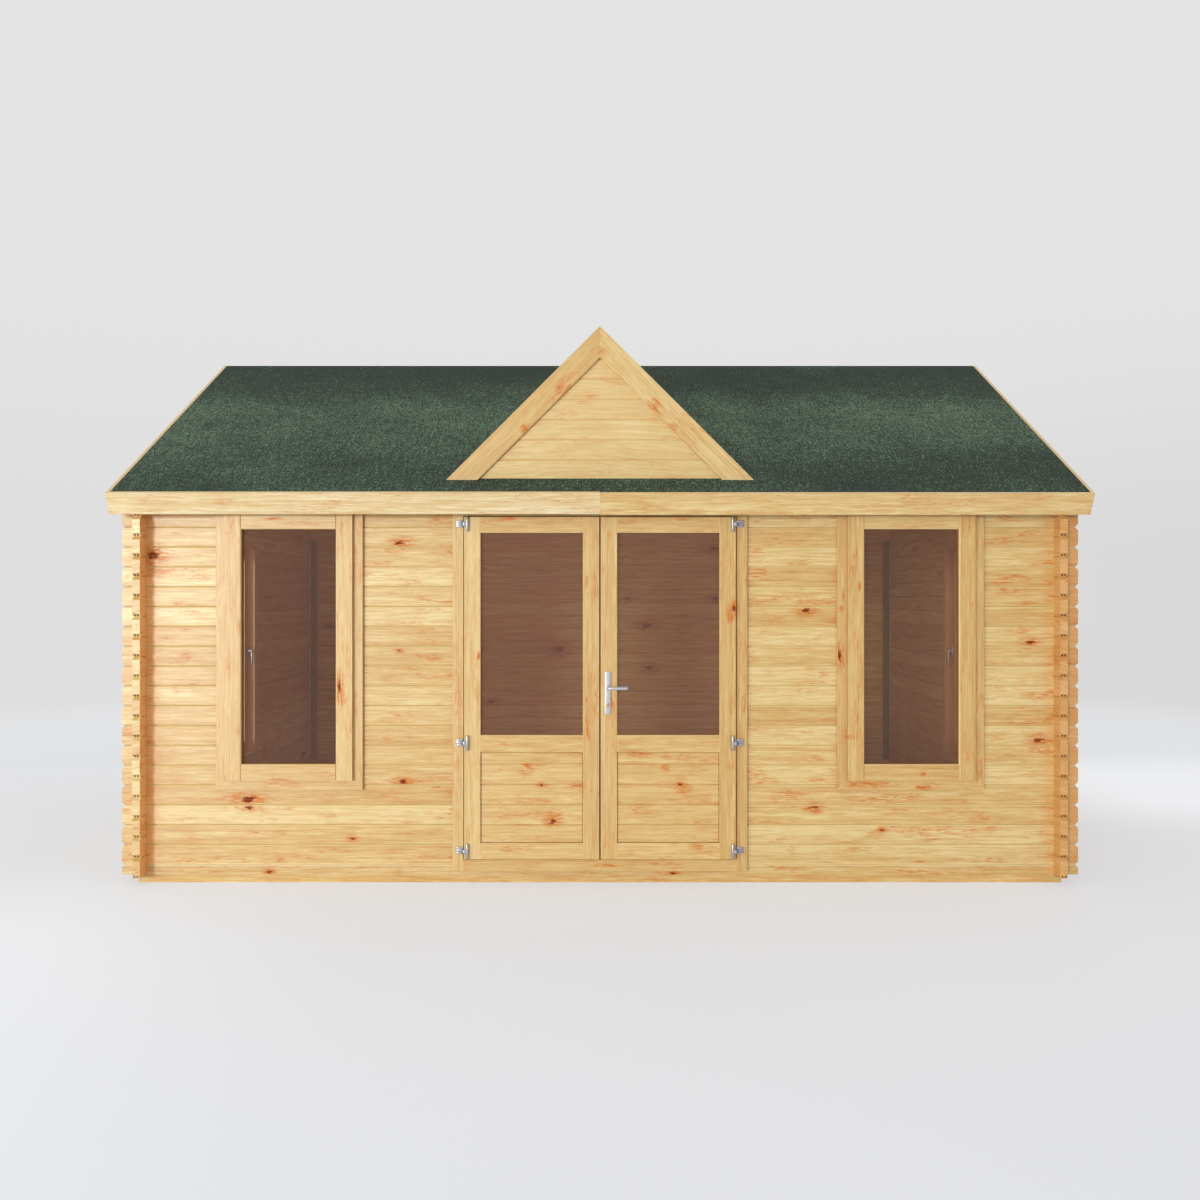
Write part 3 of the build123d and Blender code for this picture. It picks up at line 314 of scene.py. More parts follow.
@dataclass(frozen=True)
class PineFinish:
    """Planed pine: its palette, its gloss and how lively its figure is."""

    name: str
    pale: Colour = linear(228, 203, 144)
    straw: Colour = linear(211, 174, 106)
    honey: Colour = linear(193, 142, 70)
    resin: Colour = linear(202, 108, 20)
    knot: Colour = linear(126, 46, 4)
    # Painted shade on the sides of boards that face a neighbour.
    flank_shading: Colour = linear(168, 104, 50)
    # Warm tint of the painted shade in the corners.
    shade_warmth: Colour = linear(252, 184, 112)
    shadow: Colour = linear(64, 32, 12)
    roughness: float = 0.42
    gloss: float = 0.85
    figure: float = 1.0
    knots: float = 0.30
    blush: float = 0.5
    variety: float = 0.26
    spots: Sequence[Spot] = ()
    flares: Sequence[Spot] = ()

    def growth(self, graph: Graph, grain: Any, place: Any, seed: Any) -> Socket:
        """Measure how far a point is from the pith of its log, which drifts along the board.

        Args:
            graph: Graph of the material.
            grain: Place in metres, along the grain, across the board and through it.
            place: The same, shifted by the seed.
            seed: Seed of the board.

        Returns:
            The distance in metres.
        """
        _, across, through = graph.split(grain)
        pith = graph.line(graph.noise(place, DRIFT, 1.0), 0.16, graph.line(seed, 0.10, -0.13))
        from_pith = graph.minus(across, pith)
        deep = graph.plus(through, 0.03)
        squares = graph.line(from_pith, from_pith, 0.0006)
        return graph.math("SQRT", graph.line(deep, graph.times(deep, 0.35), squares))

    def knot_masks(self, graph: Graph, place: Any, seed: Any, ragged: Any, near_knot: Any) -> tuple[Any, Any]:
        """Set one knot in some cells of a stretched grid, and add the chosen ones.

        Args:
            graph: Graph of the material.
            place: Place in metres, shifted by the seed.
            seed: Seed of the board.
            ragged: Noise that frays the rims.
            near_knot: Optional distance from a chosen knot, where 1 is its rim.

        Returns:
            Masks of the knots' cores and of the wood that flows round them.
        """
        along, across, _ = graph.split(place)
        cell_place = graph.vector("MULTIPLY", graph.combine(along, across, seed), KNOT_CELLS)
        cell = graph.node("ShaderNodeTexVoronoi", {"Vector": cell_place, "Scale": 1.0, "Randomness": 0.9})
        odds, girth, _ = graph.split(cell.outputs["Color"])
        chosen = graph.math("LESS_THAN", odds, self.knots)
        reach = graph.swing(ragged, 0.20, cell.outputs["Distance"])
        near = graph.math("DIVIDE", reach, graph.line(girth, 0.065, 0.045))
        core = graph.times(chosen, graph.ease(near, 0.55, 0.85, 1.0, 0.0))
        halo = graph.times(chosen, graph.ease(near, 0.7, 3.4, 1.0, 0.0))
        if near_knot is not None:
            near = graph.swing(ragged, 3.6, near_knot)
            core = graph.higher(core, graph.ease(near, 0.6, 1.15, 1.0, 0.0))
            halo = graph.higher(halo, graph.ease(near, 0.8, 4.6, 1.0, 0.0))
        return core, halo

    def resin_masks(self, graph: Graph, place: Any, halo: Any, ragged: Any,
                    near_flare: Any) -> tuple[Any, ...]:
        """Find the wood rich in resin: faint patches anywhere, and flares round knots and chosen spots.

        Args:
            graph: Graph of the material.
            place: Place in metres, shifted by the seed.
            halo: Mask of the wood round the knots.
            ragged: Noise that frays the rims.
            near_flare: Optional distance from a chosen patch, where 1 is its rim.

        Returns:
            Masks of the patches and the flares, and the dashes that break them up.
        """
        rich = graph.noise(place, RESIN_PATCHES, 3.0, 0.65)
        dashes = graph.noise(place, RESIN_DASHES, 3.0, 0.7)
        patch = graph.times(graph.ease(rich, 0.50, 0.66), graph.ease(dashes, 0.42, 0.62))
        flare = graph.times(halo, graph.ease(dashes, 0.38, 0.56, 0.10, 0.95))
        if near_flare is not None:
            near = graph.ease(graph.swing(ragged, 2.4, near_flare), 0.3, 1.5, 0.95, 0.0)
            flare = graph.higher(flare, graph.times(near, graph.ease(dashes, 0.40, 0.58, 0.12, 1.0)))
        return graph.times(patch, self.blush), flare, dashes

    def paint(self, graph: Graph, shader: Node, grain: Any, seed: Any, ink: Any = None,
              dent: Any = None, highlight: Any = None, flank_shading: Any = None, corner_shade: Any = None,
              near_knot: Any = None, near_flare: Any = None) -> None:
        """Wire the pine into a shader.

        Args:
            graph: Graph of the material.
            shader: Its Principled shader.
            grain: Place in metres, along the grain, across the board and through it.
            seed: A number from 0 to 1 that tells one board from the next.
            ink: Optional mask from 0 to 1 of dark joints and holes, and of darkening towards the ground.
            dent: Optional extra height in metres for the bump.
            highlight: Optional mask from 0 to 1 of painted highlight on the bevels.
            flank_shading: Optional mask from 0 to 1 of sides facing a neighbour, for painted flank shading.
            corner_shade: Optional mask from 0 to 1 of painted shade, the warm tint of the shaded corners.
            near_knot: Optional distance from a chosen knot, where 1 is its rim.
            near_flare: Optional distance from a chosen patch of resin, where 1 is its rim.
        """
        shift = graph.vector("MULTIPLY", graph.combine(seed, seed, seed), SEED_SHIFT)
        place = graph.vector("ADD", grain, shift)
        ragged = graph.noise(place, RAGGED, 3.0, 0.7)
        core, halo = self.knot_masks(graph, place, seed, ragged, near_knot)
        ring = graph.line(halo, 0.006, self.growth(graph, grain, place, seed))
        level = graph.line(ring, 0.4, graph.times(graph.split(grain)[1], 0.9))
        lines = graph.combine(graph.split(place)[0], level, seed)
        streaks = graph.noise(lines, STREAKS, 4.0, 0.66)
        fine = graph.noise(lines, HAIRLINES, 2.0, 0.6)
        rings = graph.math("SINE", graph.times(ring, 1150.0))

        bands = graph.noise(lines, BANDS, 2.0)
        clouds = graph.noise(place, CLOUDS, 3.0, 0.6)
        warmth: Any = 0.46
        for wave, strength in ((streaks, 1.7), (fine, 1.0), (bands, 0.6), (clouds, 0.45)):
            warmth = graph.swing(wave, strength * self.figure, warmth)
        warmth = graph.swing(graph.draw(seed), self.variety, warmth)
        warmth = graph.line(rings, 0.02, warmth)
        colour = graph.ramp(warmth, ((0.12, self.pale), (0.5, self.straw), (0.92, self.honey)))

        # Painted shade: the warm tint of the shaded corners.
        if corner_shade is not None:
            colour = graph.mix(corner_shade, colour, self.shade_warmth)
        blush, flare, dashes = self.resin_masks(graph, place, halo, ragged, near_flare)
        colour = graph.mix(blush, colour, self.resin)
        colour = graph.mix(flare, colour, self.resin)
        core = graph.times(core, graph.ease(dashes, 0.30, 0.52, 0.6, 1.0))
        colour = graph.mix(core, colour, self.knot)
        # Painted shading on the sides of the boards.
        if flank_shading is not None:
            colour = graph.mix(flank_shading, colour, self.flank_shading)
        # Painted highlight on the bevels, paler than the palest wood.
        if highlight is not None:
            colour = graph.mix(highlight, colour, shaded(self.pale, 1.12))
        if ink is not None:
            colour = graph.mix(ink, colour, self.shadow)
        graph.paint(shader, colour)

        graph.feed(shader.inputs["Roughness"], graph.line(streaks, 0.12, self.roughness - 0.06))
        dull = graph.higher(core, graph.times(graph.higher(flare, blush), 0.7))
        graph.feed(shader.inputs["Specular IOR Level"], graph.ease(dull, 0.1, 0.9, self.gloss, 0.08))
        height = graph.line(fine, 0.00012, graph.times(rings, 0.00002))
        height = graph.line(core, -0.0004, height)
        if dent is not None:
            height = graph.plus(height, dent)
        graph.relief(shader, height, 0.6)

    def on_boards(self) -> Material:
        """Make the material for built boards, which carry their grain and seed with them.

        Returns:
            The material.
        """
        material, graph, shader = new_material(self.name)
        grain = graph.node("ShaderNodeAttribute", attribute_name="grain").outputs["Vector"]
        seed = graph.node("ShaderNodeAttribute", attribute_name="seed").outputs["Fac"]
        # The face's rim picks its painted shading: flank shade towards 1, bevel highlight towards -1.
        rim = graph.node("ShaderNodeAttribute", attribute_name="rim").outputs["Fac"]
        flank_shading = graph.ease(rim, 0.2, 0.8, 0.0, 0.8)
        highlight = graph.ease(rim, -0.8, -0.2, 0.6, 0.0)
        x, _, z = graph.split(graph.place())
        knots, flares = (nearest_spot(graph, x, z, marks) for marks in (self.spots, self.flares))
        self.paint(graph, shader, grain, seed, highlight=highlight, flank_shading=flank_shading, near_knot=knots, near_flare=flares)
        return material


# Steps between the seeds of courses and of walls, and how often the joints' wear changes to a metre.
COURSE_STEP = 0.731
WALL_STEP = 0.217
JOINT_WEAR = (2.6, 9.0, 1.0)
LogKnot = Triple


class WallRun(Enum):
    """Which way a log wall runs."""

    ALONG_FRONT = "x"
    ALONG_SIDE = "y"


@dataclass(frozen=True)
class LogFinish:
    """Log wall pine: a figure per course, dark joints, log-end slots, painted bevel light and corner shade.
    """

    pine: PineFinish
    run: WallRun
    first_joint: float
    number: int
    course: float = 0.114
    inner_face: float = 1.8562
    end_reach: float = 1.9765
    slot_line: float = 2.628
    slot_apart: float = 0.0085
    slot_half: float = 0.0050
    slot_rise: float = 0.0095
    slot_tall: float = 0.0074
    seam_half: float = 0.0016
    seam_bevel: float = 0.006
    bevel: float = 0.008
    # Painted shade: a warm tint on the cheeks by the corner stubs (begin, full, end) and on the ends past
    # tips.
    cheek: Triple = (1.90, 1.905, 2.2)
    cheek_shade: float = 0.85
    tips: float = 1.905
    tip_shade: float = 0.0
    # Darker towards the ground, up to the height foot.
    foot: float = 0.45
    low_darkening: float = 0.0
    knots: Sequence[LogKnot] = ()

    def slots(self, graph: Graph, through: Any, above: Any) -> Socket:
        """Find the slots that are cut into each log end.

        Args:
            graph: Graph of the material.
            through: Place through the wall.
            above: Height over the joint under the log.

        Returns:
            A mask from 0 to 1.
        """
        aside = graph.minus(graph.unsigned(through), self.slot_line)
        aside = graph.minus(graph.unsigned(aside), self.slot_apart)
        narrow = graph.ease(graph.unsigned(aside), self.slot_half * 0.7, self.slot_half, 1.0, 0.0)
        rise = graph.unsigned(graph.minus(above, self.slot_rise))
        return graph.times(narrow, graph.ease(rise, self.slot_tall * 0.7, self.slot_tall, 1.0, 0.0))

    def corner_shade(self, graph: Graph, reach: Any, inside: Any) -> Socket:
        """Find the painted shade of the corners: a warm tint on the cheeks and on the tips.

        Args:
            graph: Graph of the material.
            reach: Distance from the middle of the wall.
            inside: Mask of the inner face.

        Returns:
            A mask from 0 to 1.
        """
        begin, full, end = self.cheek
        corner_shade = graph.ease(reach, begin, full, 0.0, self.cheek_shade)
        corner_shade = graph.times(corner_shade, graph.math("LESS_THAN", reach, end))
        if self.run is WallRun.ALONG_SIDE:
            corner_shade = graph.times(corner_shade, inside)
        if self.tip_shade:
            tips = graph.times(graph.math("GREATER_THAN", reach, self.tips), self.tip_shade)
            corner_shade = graph.higher(corner_shade, tips)
        return corner_shade

    def material(self) -> Material:
        """Make the wall's material from Object coordinates.

        Returns:
            The material.
        """
        material, graph, shader = new_material(f"{self.pine.name}_{self.number}")
        x, y, z = graph.split(graph.place())
        along, through = (x, y) if self.run is WallRun.ALONG_FRONT else (y, x)
        reach = graph.unsigned(along)
        height = graph.minus(z, self.first_joint)
        courses = graph.math("DIVIDE", height, self.course)
        above = graph.times(graph.math("FRACT", courses), self.course)
        from_joint = graph.math("PINGPONG", height, self.course / 2)
        seed = graph.draw(graph.line(graph.math("FLOOR", courses), COURSE_STEP, WALL_STEP * self.number))
        grain = graph.combine(along, graph.minus(above, self.course / 2), through)
        beyond = graph.math("GREATER_THAN", reach, self.end_reach)
        inside = graph.math("LESS_THAN", graph.unsigned(through), self.inner_face)

        worn = graph.ease(graph.noise(grain, JOINT_WEAR, 2.0), 0.36, 0.62, 0.38, 0.76)
        seam = graph.times(graph.ease(from_joint, self.seam_half * 0.4, self.seam_half, 1.0, 0.0), worn)
        seam = graph.times(seam, graph.minus(1.0, beyond))
        ink = graph.higher(seam, graph.times(beyond, self.slots(graph, through, above)))
        # Darker towards the ground.
        if self.low_darkening:
            ink = graph.higher(ink, graph.ease(z, 0.0, self.foot, self.low_darkening, 0.0))
        groove = graph.minus(graph.math("MINIMUM", from_joint, self.seam_bevel), self.seam_bevel)
        dent = graph.times(inside, groove)
        # Painted light along the bevels above and below each joint, on the outer faces only.
        top_bevel_light = graph.ease(above, self.course - self.bevel, self.course - 0.6 * self.bevel, 0.0, 0.85)
        edges = graph.higher(top_bevel_light, graph.ease(above, 0.6 * self.bevel, self.bevel, 0.6, 0.0))
        bevel_light = graph.times(edges, graph.minus(1.0, graph.higher(inside, beyond)))
        # Painted shade in the corners.
        corner_shade = self.corner_shade(graph, reach, inside)
        spots = [(place, up, 2.0 * size, size) for place, up, size in self.knots]
        knots = nearest_spot(graph, along, z, spots)
        self.pine.paint(graph, shader, grain, seed, ink, dent, bevel_light, corner_shade=corner_shade, near_knot=knots)
        return material


@dataclass(frozen=True)
class FeltFinish:
    """Mineral roofing felt: a fine, slightly woven grit in strips laid along the roof."""

    name: str = "roof_felt"
    shade: Colour = linear(28, 42, 30)
    body: Colour = linear(58, 77, 59)
    glint: Colour = linear(104, 129, 105)
    grit: Triple = (120.0, 50.0, 50.0)
    warp: Triple = (120.0, 9.0, 9.0)
    weft: Triple = (9.0, 60.0, 60.0)
    clouds: Triple = (1.6, 1.3, 2.6)
    # Heights over which the felt gets darker towards the ridge, and lighter up from the eaves.
    ridge_darkening: Span = (2.85, 3.28)
    eaves: Span = (2.30, 2.66)

    def material(self) -> Material:
        """Make the felt's material from Object coordinates.

        Returns:
            The material.
        """
        material, graph, shader = new_material(self.name)
        place = graph.place()
        across, _, height = graph.split(place)
        grit = graph.noise(place, self.grit, 2.0, 0.75)
        warp = graph.noise(place, self.warp, 2.0, 0.65)
        weft = graph.noise(place, self.weft, 2.0, 0.6)
        cloud = graph.noise(place, self.clouds, 3.0, 0.6)
        weave = graph.plus(graph.times(warp, 0.62), graph.times(weft, 0.38))
        # Darker towards the ridge, lighter up from the eaves, and darker low on the right.
        ridge = graph.ease(height, *self.ridge_darkening, 0.0, -0.62)
        tone = graph.plus(ridge, graph.ease(height, *self.eaves, 0.30, 0.50))
        right_side = graph.ease(across, 0.3, 1.8)
        tone = graph.plus(tone, graph.times(right_side, graph.ease(height, 2.35, 2.75, -0.20, 0.04)))
        for wave, strength in ((weave, 1.7), (grit, 3.6), (cloud, 0.9)):
            tone = graph.swing(wave, strength, tone)
        graph.paint(shader, graph.ramp(tone, ((0.05, self.shade), (0.5, self.body), (0.95, self.glint))))
        graph.feed(shader.inputs["Roughness"], graph.line(grit, 0.1, 0.85))
        graph.relief(shader, graph.line(grit, 0.0006, graph.times(weave, 0.0008)), 0.7)
        return material


@dataclass(frozen=True)
class GlassFinish:
    """Thin window glass that shuts in a dim, warm room."""

    name: str = "door_glass"
    tint: Colour = linear(146, 104, 88)
    cover: float = 0.26

    def material(self) -> Material:
        """Make the glass, seen through by its alpha.

        Returns:
            The material.
        """
        material, graph, shader = new_material(self.name)
        place = graph.place()
        film = graph.noise(place, (1.3, 1.3, 1.1), 2.0, 0.5)
        colour = graph.mix(graph.ease(film, 0.3, 0.7), self.tint, shaded(self.tint, 0.9))
        graph.paint(shader, colour)
        shader.inputs["Roughness"].default_value = 0.06
        shader.inputs["Alpha"].default_value = self.cover
        return material


@dataclass(frozen=True)
class MetalFinish:
    """Satin metal with fine brushed lines."""

    name: str
    colour: Colour
    roughness: float = 0.34
    brushing: float = 0.10
    lines: Triple = (60.0, 60.0, 1800.0)

    def material(self) -> Material:
        """Make the metal from Object coordinates.

        Returns:
            The material.
        """
        material, graph, shader = new_material(self.name)
        place = graph.place()
        brushed = graph.noise(place, self.lines, 2.0, 0.6)
        smear = graph.noise(place, (35.0, 35.0, 35.0), 2.0, 0.5)
        graph.paint(shader, graph.mix(smear, self.colour, shaded(self.colour, 0.82)))
        gloss = graph.line(brushed, self.brushing, self.roughness - self.brushing / 2)
        graph.feed(shader.inputs["Roughness"], gloss)
        shader.inputs["Metallic"].default_value = 0.85
        graph.relief(shader, graph.times(brushed, 0.00002), 0.5)
        return material


@dataclass(frozen=True)
class ShadeFinish:
    """Dark brown pile for painted shade, in the gap between the leaves and in the keyway."""

    name: str = "draught_seal"
    colour: Colour = linear(74, 42, 22)

    def material(self) -> Material:
        """Make the seal from Object coordinates.

        Returns:
            The material.
        """
        material, graph, shader = new_material(self.name)
        place = graph.place()
        pile = graph.noise(place, (900.0, 900.0, 60.0), 2.0, 0.6)
        graph.paint(shader, graph.mix(pile, self.colour, shaded(self.colour, 0.6)))
        shader.inputs["Roughness"].default_value = 0.8
        return material


# ---------------------------------------------------------------- solids of the CAD nodes
def cad_shape(node: str) -> Shape:
    """Copy a CAD node's mesh and join its facets at their points.

    Args:
        node: The CAD node.

    Returns:
        The shape.
    """
    whole = bmesh.new()
    whole.from_mesh(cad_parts[node].data)
    bmesh.ops.remove_doubles(whole, verts=whole.verts, dist=SAME_POINT)
    return whole


def islands(whole: Shape) -> list[list[bmesh.types.BMVert]]:
    """Find the separate solids of a shape.

    Args:
        whole: The shape.

    Returns:
        The points of each solid, all in the shape's own order.
    """
    whole.verts.index_update()
    found = []
    seen: set[bmesh.types.BMVert] = set()
    for first in whole.verts:
        if first in seen:
            continue
        island = {first}
        border = {first}
        while border:
            border = {edge.other_vert(vertex) for vertex in border for edge in vertex.link_edges} - island
            island |= border
        seen |= island
        found.append(sorted(island, key=lambda vertex: vertex.index))
    return found


def soften(shape: Shape, edges: list[bmesh.types.BMEdge], size: float) -> None:
    """Cut a small flat bevel along edges of a shape."""
    bmesh.ops.bevel(shape, geom=edges, offset=size, segments=1, affect="EDGES", clamp_overlap=True)


# ---------------------------------------------------------------- boards
@dataclass
class Board:
    """One straight board: a section swept along its grain between two end cuts.

    The section's points are (across, out) pairs. An end cut moves the end along the grain by that much for
    each metre across, so 1 and -1 are mitres.
    """

    start: Vector
    along: Vector
    across: Vector
    length: float
    section: Outline
    start_cut: float = 0.0
    end_cut: float = 0.0

    @property
    def out(self) -> Vector:
        """Direction square to the board's grain and width."""
        return self.along.cross(self.across)


def strip(near: float, far: float, low: float, high: float) -> list[Span]:
    """Section of a plain strip between two places across it and two heights."""
    return [(near, low), (far, low), (far, high), (near, high)]


def plank(width: float, thick: float) -> list[Span]:
    """Section of a plain board, centred across its width, with its back at 0."""
    return strip(-width / 2, width / 2, 0.0, thick)


@dataclass
class Joinery:
    """Collects boards into one mesh that carries the grain and a seed for each board."""

    name: str
    seed: float
    edge: float = 0.002
    points: list[Vector] = field(default_factory=list)
    faces: list[list[int]] = field(default_factory=list)
    grain: list[Vector] = field(default_factory=list)
    seeds: list[float] = field(default_factory=list)
    rims: list[float] = field(default_factory=list)
    # Rim of the bevels, which picks their painted shading: -1 highlight, towards 1 flank shade.
    bevel_rim: float = -1.0
    count: int = 0

    def take(self, shape: Shape, axes: tuple[Vector, Vector, Vector], centre: Vector) -> None:
        """Add one closed shape as a board of its own.

        Args:
            shape: The shape, which is freed.
            axes: Directions along the grain, across it and out of it.
            centre: Point that the figure is measured from.
        """
        bmesh.ops.recalc_face_normals(shape, faces=shape.faces)
        shape.normal_update()
        base = len(self.points)
        shape.verts.index_update()
        number = (self.seed + self.count * SEED_STEP) % 1.0
        self.count += 1
        for vertex in shape.verts:
            place = vertex.co - centre
            self.points.append(vertex.co.copy())
            self.grain.append(Vector([place.dot(axis) for axis in axes]))
            self.seeds.append(number)
        for face in shape.faces:
            self.faces.append([base + vertex.index for vertex in face.verts])
            square = [abs(face.normal.dot(axis)) > SQUARE_ON for axis in axes]
            # The rim picks the face's painted shading: 1 on flanks, 0 on faces, bevel_rim on bevels.
            self.rims.append(0.0 if square[2] else 1.0 if any(square) else self.bevel_rim)
        shape.free()

    def add(self, board: Board) -> None:
        """Add a board with softened edges.

        Args:
            board: The board.
        """
        shape = bmesh.new()
        rings = []
        for base, cut in ((0.0, board.start_cut), (board.length, board.end_cut)):
            ring = []
            for across, out in board.section:
                place = board.start + board.along * (base + cut * across)
                ring.append(shape.verts.new(place + board.across * across + board.out * out))
            rings.append(ring)
        count = len(board.section)
        for index in range(count):
            after = (index + 1) % count
            shape.faces.new((rings[0][index], rings[0][after], rings[1][after], rings[1][index]))
        shape.faces.new(rings[0][::-1])
        shape.faces.new(rings[1])
        if self.edge:
            soften(shape, list(shape.edges), self.edge)
        self.take(shape, (board.along, board.across, board.out), board.start + board.along * board.length / 2)

    def add_node(self, node: str, along: Vector, across: Vector) -> None:
        """Add every solid of a CAD node as a board, with softened edges.

        Args:
            node: The CAD node.
            along: Direction of the grain.
            across: Direction across the grain.
        """
        whole = cad_shape(node)
        bmesh.ops.dissolve_limit(whole, angle_limit=FLAT, verts=whole.verts, edges=whole.edges)
        for island in islands(whole):
            shape = bmesh.new()
            copies = {vertex: shape.verts.new(vertex.co) for vertex in island}
            for face in whole.faces:
                if face.verts[0] in copies:
                    shape.faces.new([copies[vertex] for vertex in face.verts])
            sharp = [edge for edge in shape.edges if edge.calc_face_angle(0.0) > SHARP]
            soften(shape, sharp, self.edge)
            middle = sum((vertex.co for vertex in shape.verts), Vector()) / len(shape.verts)
            self.take(shape, (along, across, along.cross(across)), middle)
        whole.free()

    def mesh(self) -> bpy.types.Mesh:
        """Make the mesh with grain, seed, and the rim that picks painted shading: 1 flank, 0 face, -1 bevel.

        Returns:
            The mesh.
        """
        mesh = bpy.data.meshes.new(self.name)
        mesh.from_pydata([tuple(point) for point in self.points], [], self.faces)
        flat = [value for place in self.grain for value in place]
        mesh.attributes.new("grain", "FLOAT_VECTOR", "POINT").data.foreach_set("vector", flat)
        mesh.attributes.new("seed", "FLOAT", "POINT").data.foreach_set("value", self.seeds)
        mesh.attributes.new("rim", "FLOAT", "FACE").data.foreach_set("value", self.rims)
        return mesh

    def finish(self, material: Material, body: str, slot: str,
               replaces: Iterable[str] = ()) -> bpy.types.Object:
        """Make the object and tie it to the frame, as settle does."""
        return settle(self.mesh(), material, body, replaces)


def settle(mesh: bpy.types.Mesh, material: Material, body: str,
           replaces: Iterable[str] = ()) -> bpy.types.Object:
    """Put a finished mesh into the scene and tie it to the frame.

    Args:
        mesh: The mesh, named as its piece.
        material: Its material.
        body: The CAD body that it rides on.
        replaces: CAD nodes that it stands for.

    Returns:
        The object.
    """
    if not mesh.materials:
        mesh.materials.append(material)
    piece = link(bpy.data.objects.new(mesh.name, mesh))
    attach(piece, body)
    names = list(replaces)
    if names:
        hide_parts(*names)
    LOG.info("%s: %d faces on %s", mesh.name, len(mesh.polygons), body)
    return piece


def dress(nodes: Iterable[str], material: Material) -> None:
    """Give CAD nodes that stay a better material.

    Args:
        nodes: Their names.
        material: The material.
    """
    for node in nodes:
        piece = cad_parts[node]
        for slot in piece.material_slots:
            slot.material = material
        if not piece.material_slots:
            piece.data.materials.append(material)
        LOG.info("%s: finish %s", node, material.name)


# ---------------------------------------------------------------- repeats by Geometry Nodes
@dataclass(frozen=True)
class Repeater:
    """Geometry Nodes tree that sets one small piece at every point of a mesh, turned by its facing."""

    name: str = "repeat_at_points"

    def tree(self) -> bpy.types.NodeTree:
        """Build the tree, or return the one that was built before.

        Returns:
            The node tree.
        """
        known = bpy.data.node_groups.get(self.name)
        if known:
            return known
        tree = bpy.data.node_groups.new(self.name, "GeometryNodeTree")
        sockets = (
            ("Points", "NodeSocketGeometry"), ("Piece", "NodeSocketObject"), ("Seed", "NodeSocketInt"),
            ("Finish", "NodeSocketMaterial"),
        )
        for label, kind in sockets:
            tree.interface.new_socket(label, in_out="INPUT", socket_type=kind)
        tree.interface.new_socket("Geometry", in_out="OUTPUT", socket_type="NodeSocketGeometry")
        graph = Graph(tree)
        given = graph.node("NodeGroupInput").outputs
        piece = graph.node("GeometryNodeObjectInfo", {"Object": given["Piece"]}).outputs["Geometry"]
        facing = graph.node("GeometryNodeInputNamedAttribute", {"Name": "facing"}, data_type="FLOAT_VECTOR")
        turn = graph.node("FunctionNodeAlignRotationToVector", {"Vector": facing.outputs[0]}, axis="Z")
        inputs = {"Points": given["Points"], "Instance": piece, "Rotation": turn.outputs[0]}
        instances = graph.node("GeometryNodeInstanceOnPoints", inputs).outputs[0]
        inputs = {2: 0.0, 3: 1.0, "Seed": given["Seed"]}
        number = graph.node("FunctionNodeRandomValue", inputs, data_type="FLOAT")
        inputs = {"Geometry": instances, "Name": "seed", "Value": number.outputs[1]}
        store = graph.node("GeometryNodeStoreNamedAttribute", inputs, data_type="FLOAT", domain="INSTANCE")
        real = graph.node("GeometryNodeRealizeInstances", {"Geometry": store.outputs[0]}).outputs[0]
        inputs = {"Geometry": real, "Material": given["Finish"]}
        painted = graph.node("GeometryNodeSetMaterial", inputs).outputs[0]
        graph.node("NodeGroupOutput", {0: painted})
        return tree

    def mesh(self, name: str, piece: bpy.types.Mesh, places: Sequence[tuple[Vector, Vector]],
             material: Material, seed: int) -> bpy.types.Mesh:
        """Repeat a small piece and return the result as a plain mesh.

        Args:
            name: Name of the mesh.
            piece: The small piece, built round the origin with its head along +Z.
            places: Where each copy stands and which way its head faces.
            material: Its material.
            seed: Seed of the copies' own seeds, which their figure follows.

        Returns:
            The mesh, in place.
        """
        if "seed" in piece.attributes:
            piece.attributes.remove(piece.attributes["seed"])
        points = bpy.data.meshes.new(f"{name}_points")
        points.from_pydata([tuple(place) for place, _ in places], [], [])
        flat = [value for _, facing in places for value in facing]
        points.attributes.new("facing", "FLOAT_VECTOR", "POINT").data.foreach_set("vector", flat)
        holder = link(bpy.data.objects.new(f"{name}_points", points))
        sample = link(bpy.data.objects.new(f"{name}_sample", piece))
        tree = self.tree()
        modifier = holder.modifiers.new(self.name, "NODES")
        modifier.node_group = tree
        values = {"Piece": sample, "Seed": seed, "Finish": material}
        for item in tree.interface.items_tree:
            if item.in_out == "INPUT" and item.name in values:
                modifier[item.identifier] = values[item.name]
        bpy.context.view_layer.update()
        depsgraph = bpy.context.evaluated_depsgraph_get()
        view = holder.evaluated_get(depsgraph)
        result = bpy.data.meshes.new_from_object(view, preserve_all_data_layers=True, depsgraph=depsgraph)
        result.name = name
        result.materials.clear()
        result.materials.append(material)
        holder.modifiers.clear()
        for thing in (holder, sample):
            bpy.data.objects.remove(thing)
        return result


# ---------------------------------------------------------------- round and soft-edged parts
def lathe(profile: Outline, sides: int) -> Shape:
    """Turn a closed shape round the Z axis.

    Args:
        profile: (radius, height) points from the lower pole to the upper one; both poles have radius 0.
        sides: Sides of the shape.

    Returns:
        The shape.
    """
    shape = bmesh.new()
    rings: list[list[bmesh.types.BMVert]] = []
    for radius, height in profile:
        if radius == 0.0:
            rings.append([shape.verts.new((0.0, 0.0, height))])
            continue
        turns = [math.tau * side / sides for side in range(sides)]
        rings.append([shape.verts.new((radius * math.cos(t), radius * math.sin(t), height)) for t in turns])
    for lower, upper in zip(rings, rings[1:]):
        for side in range(sides):
            after = (side + 1) % sides
            if len(lower) == 1:
                shape.faces.new((lower[0], upper[after], upper[side]))
            elif len(upper) == 1:
                shape.faces.new((lower[side], lower[after], upper[0]))
            else:
                shape.faces.new((lower[side], lower[after], upper[after], upper[side]))
    bmesh.ops.recalc_face_normals(shape, faces=shape.faces)
    return shape


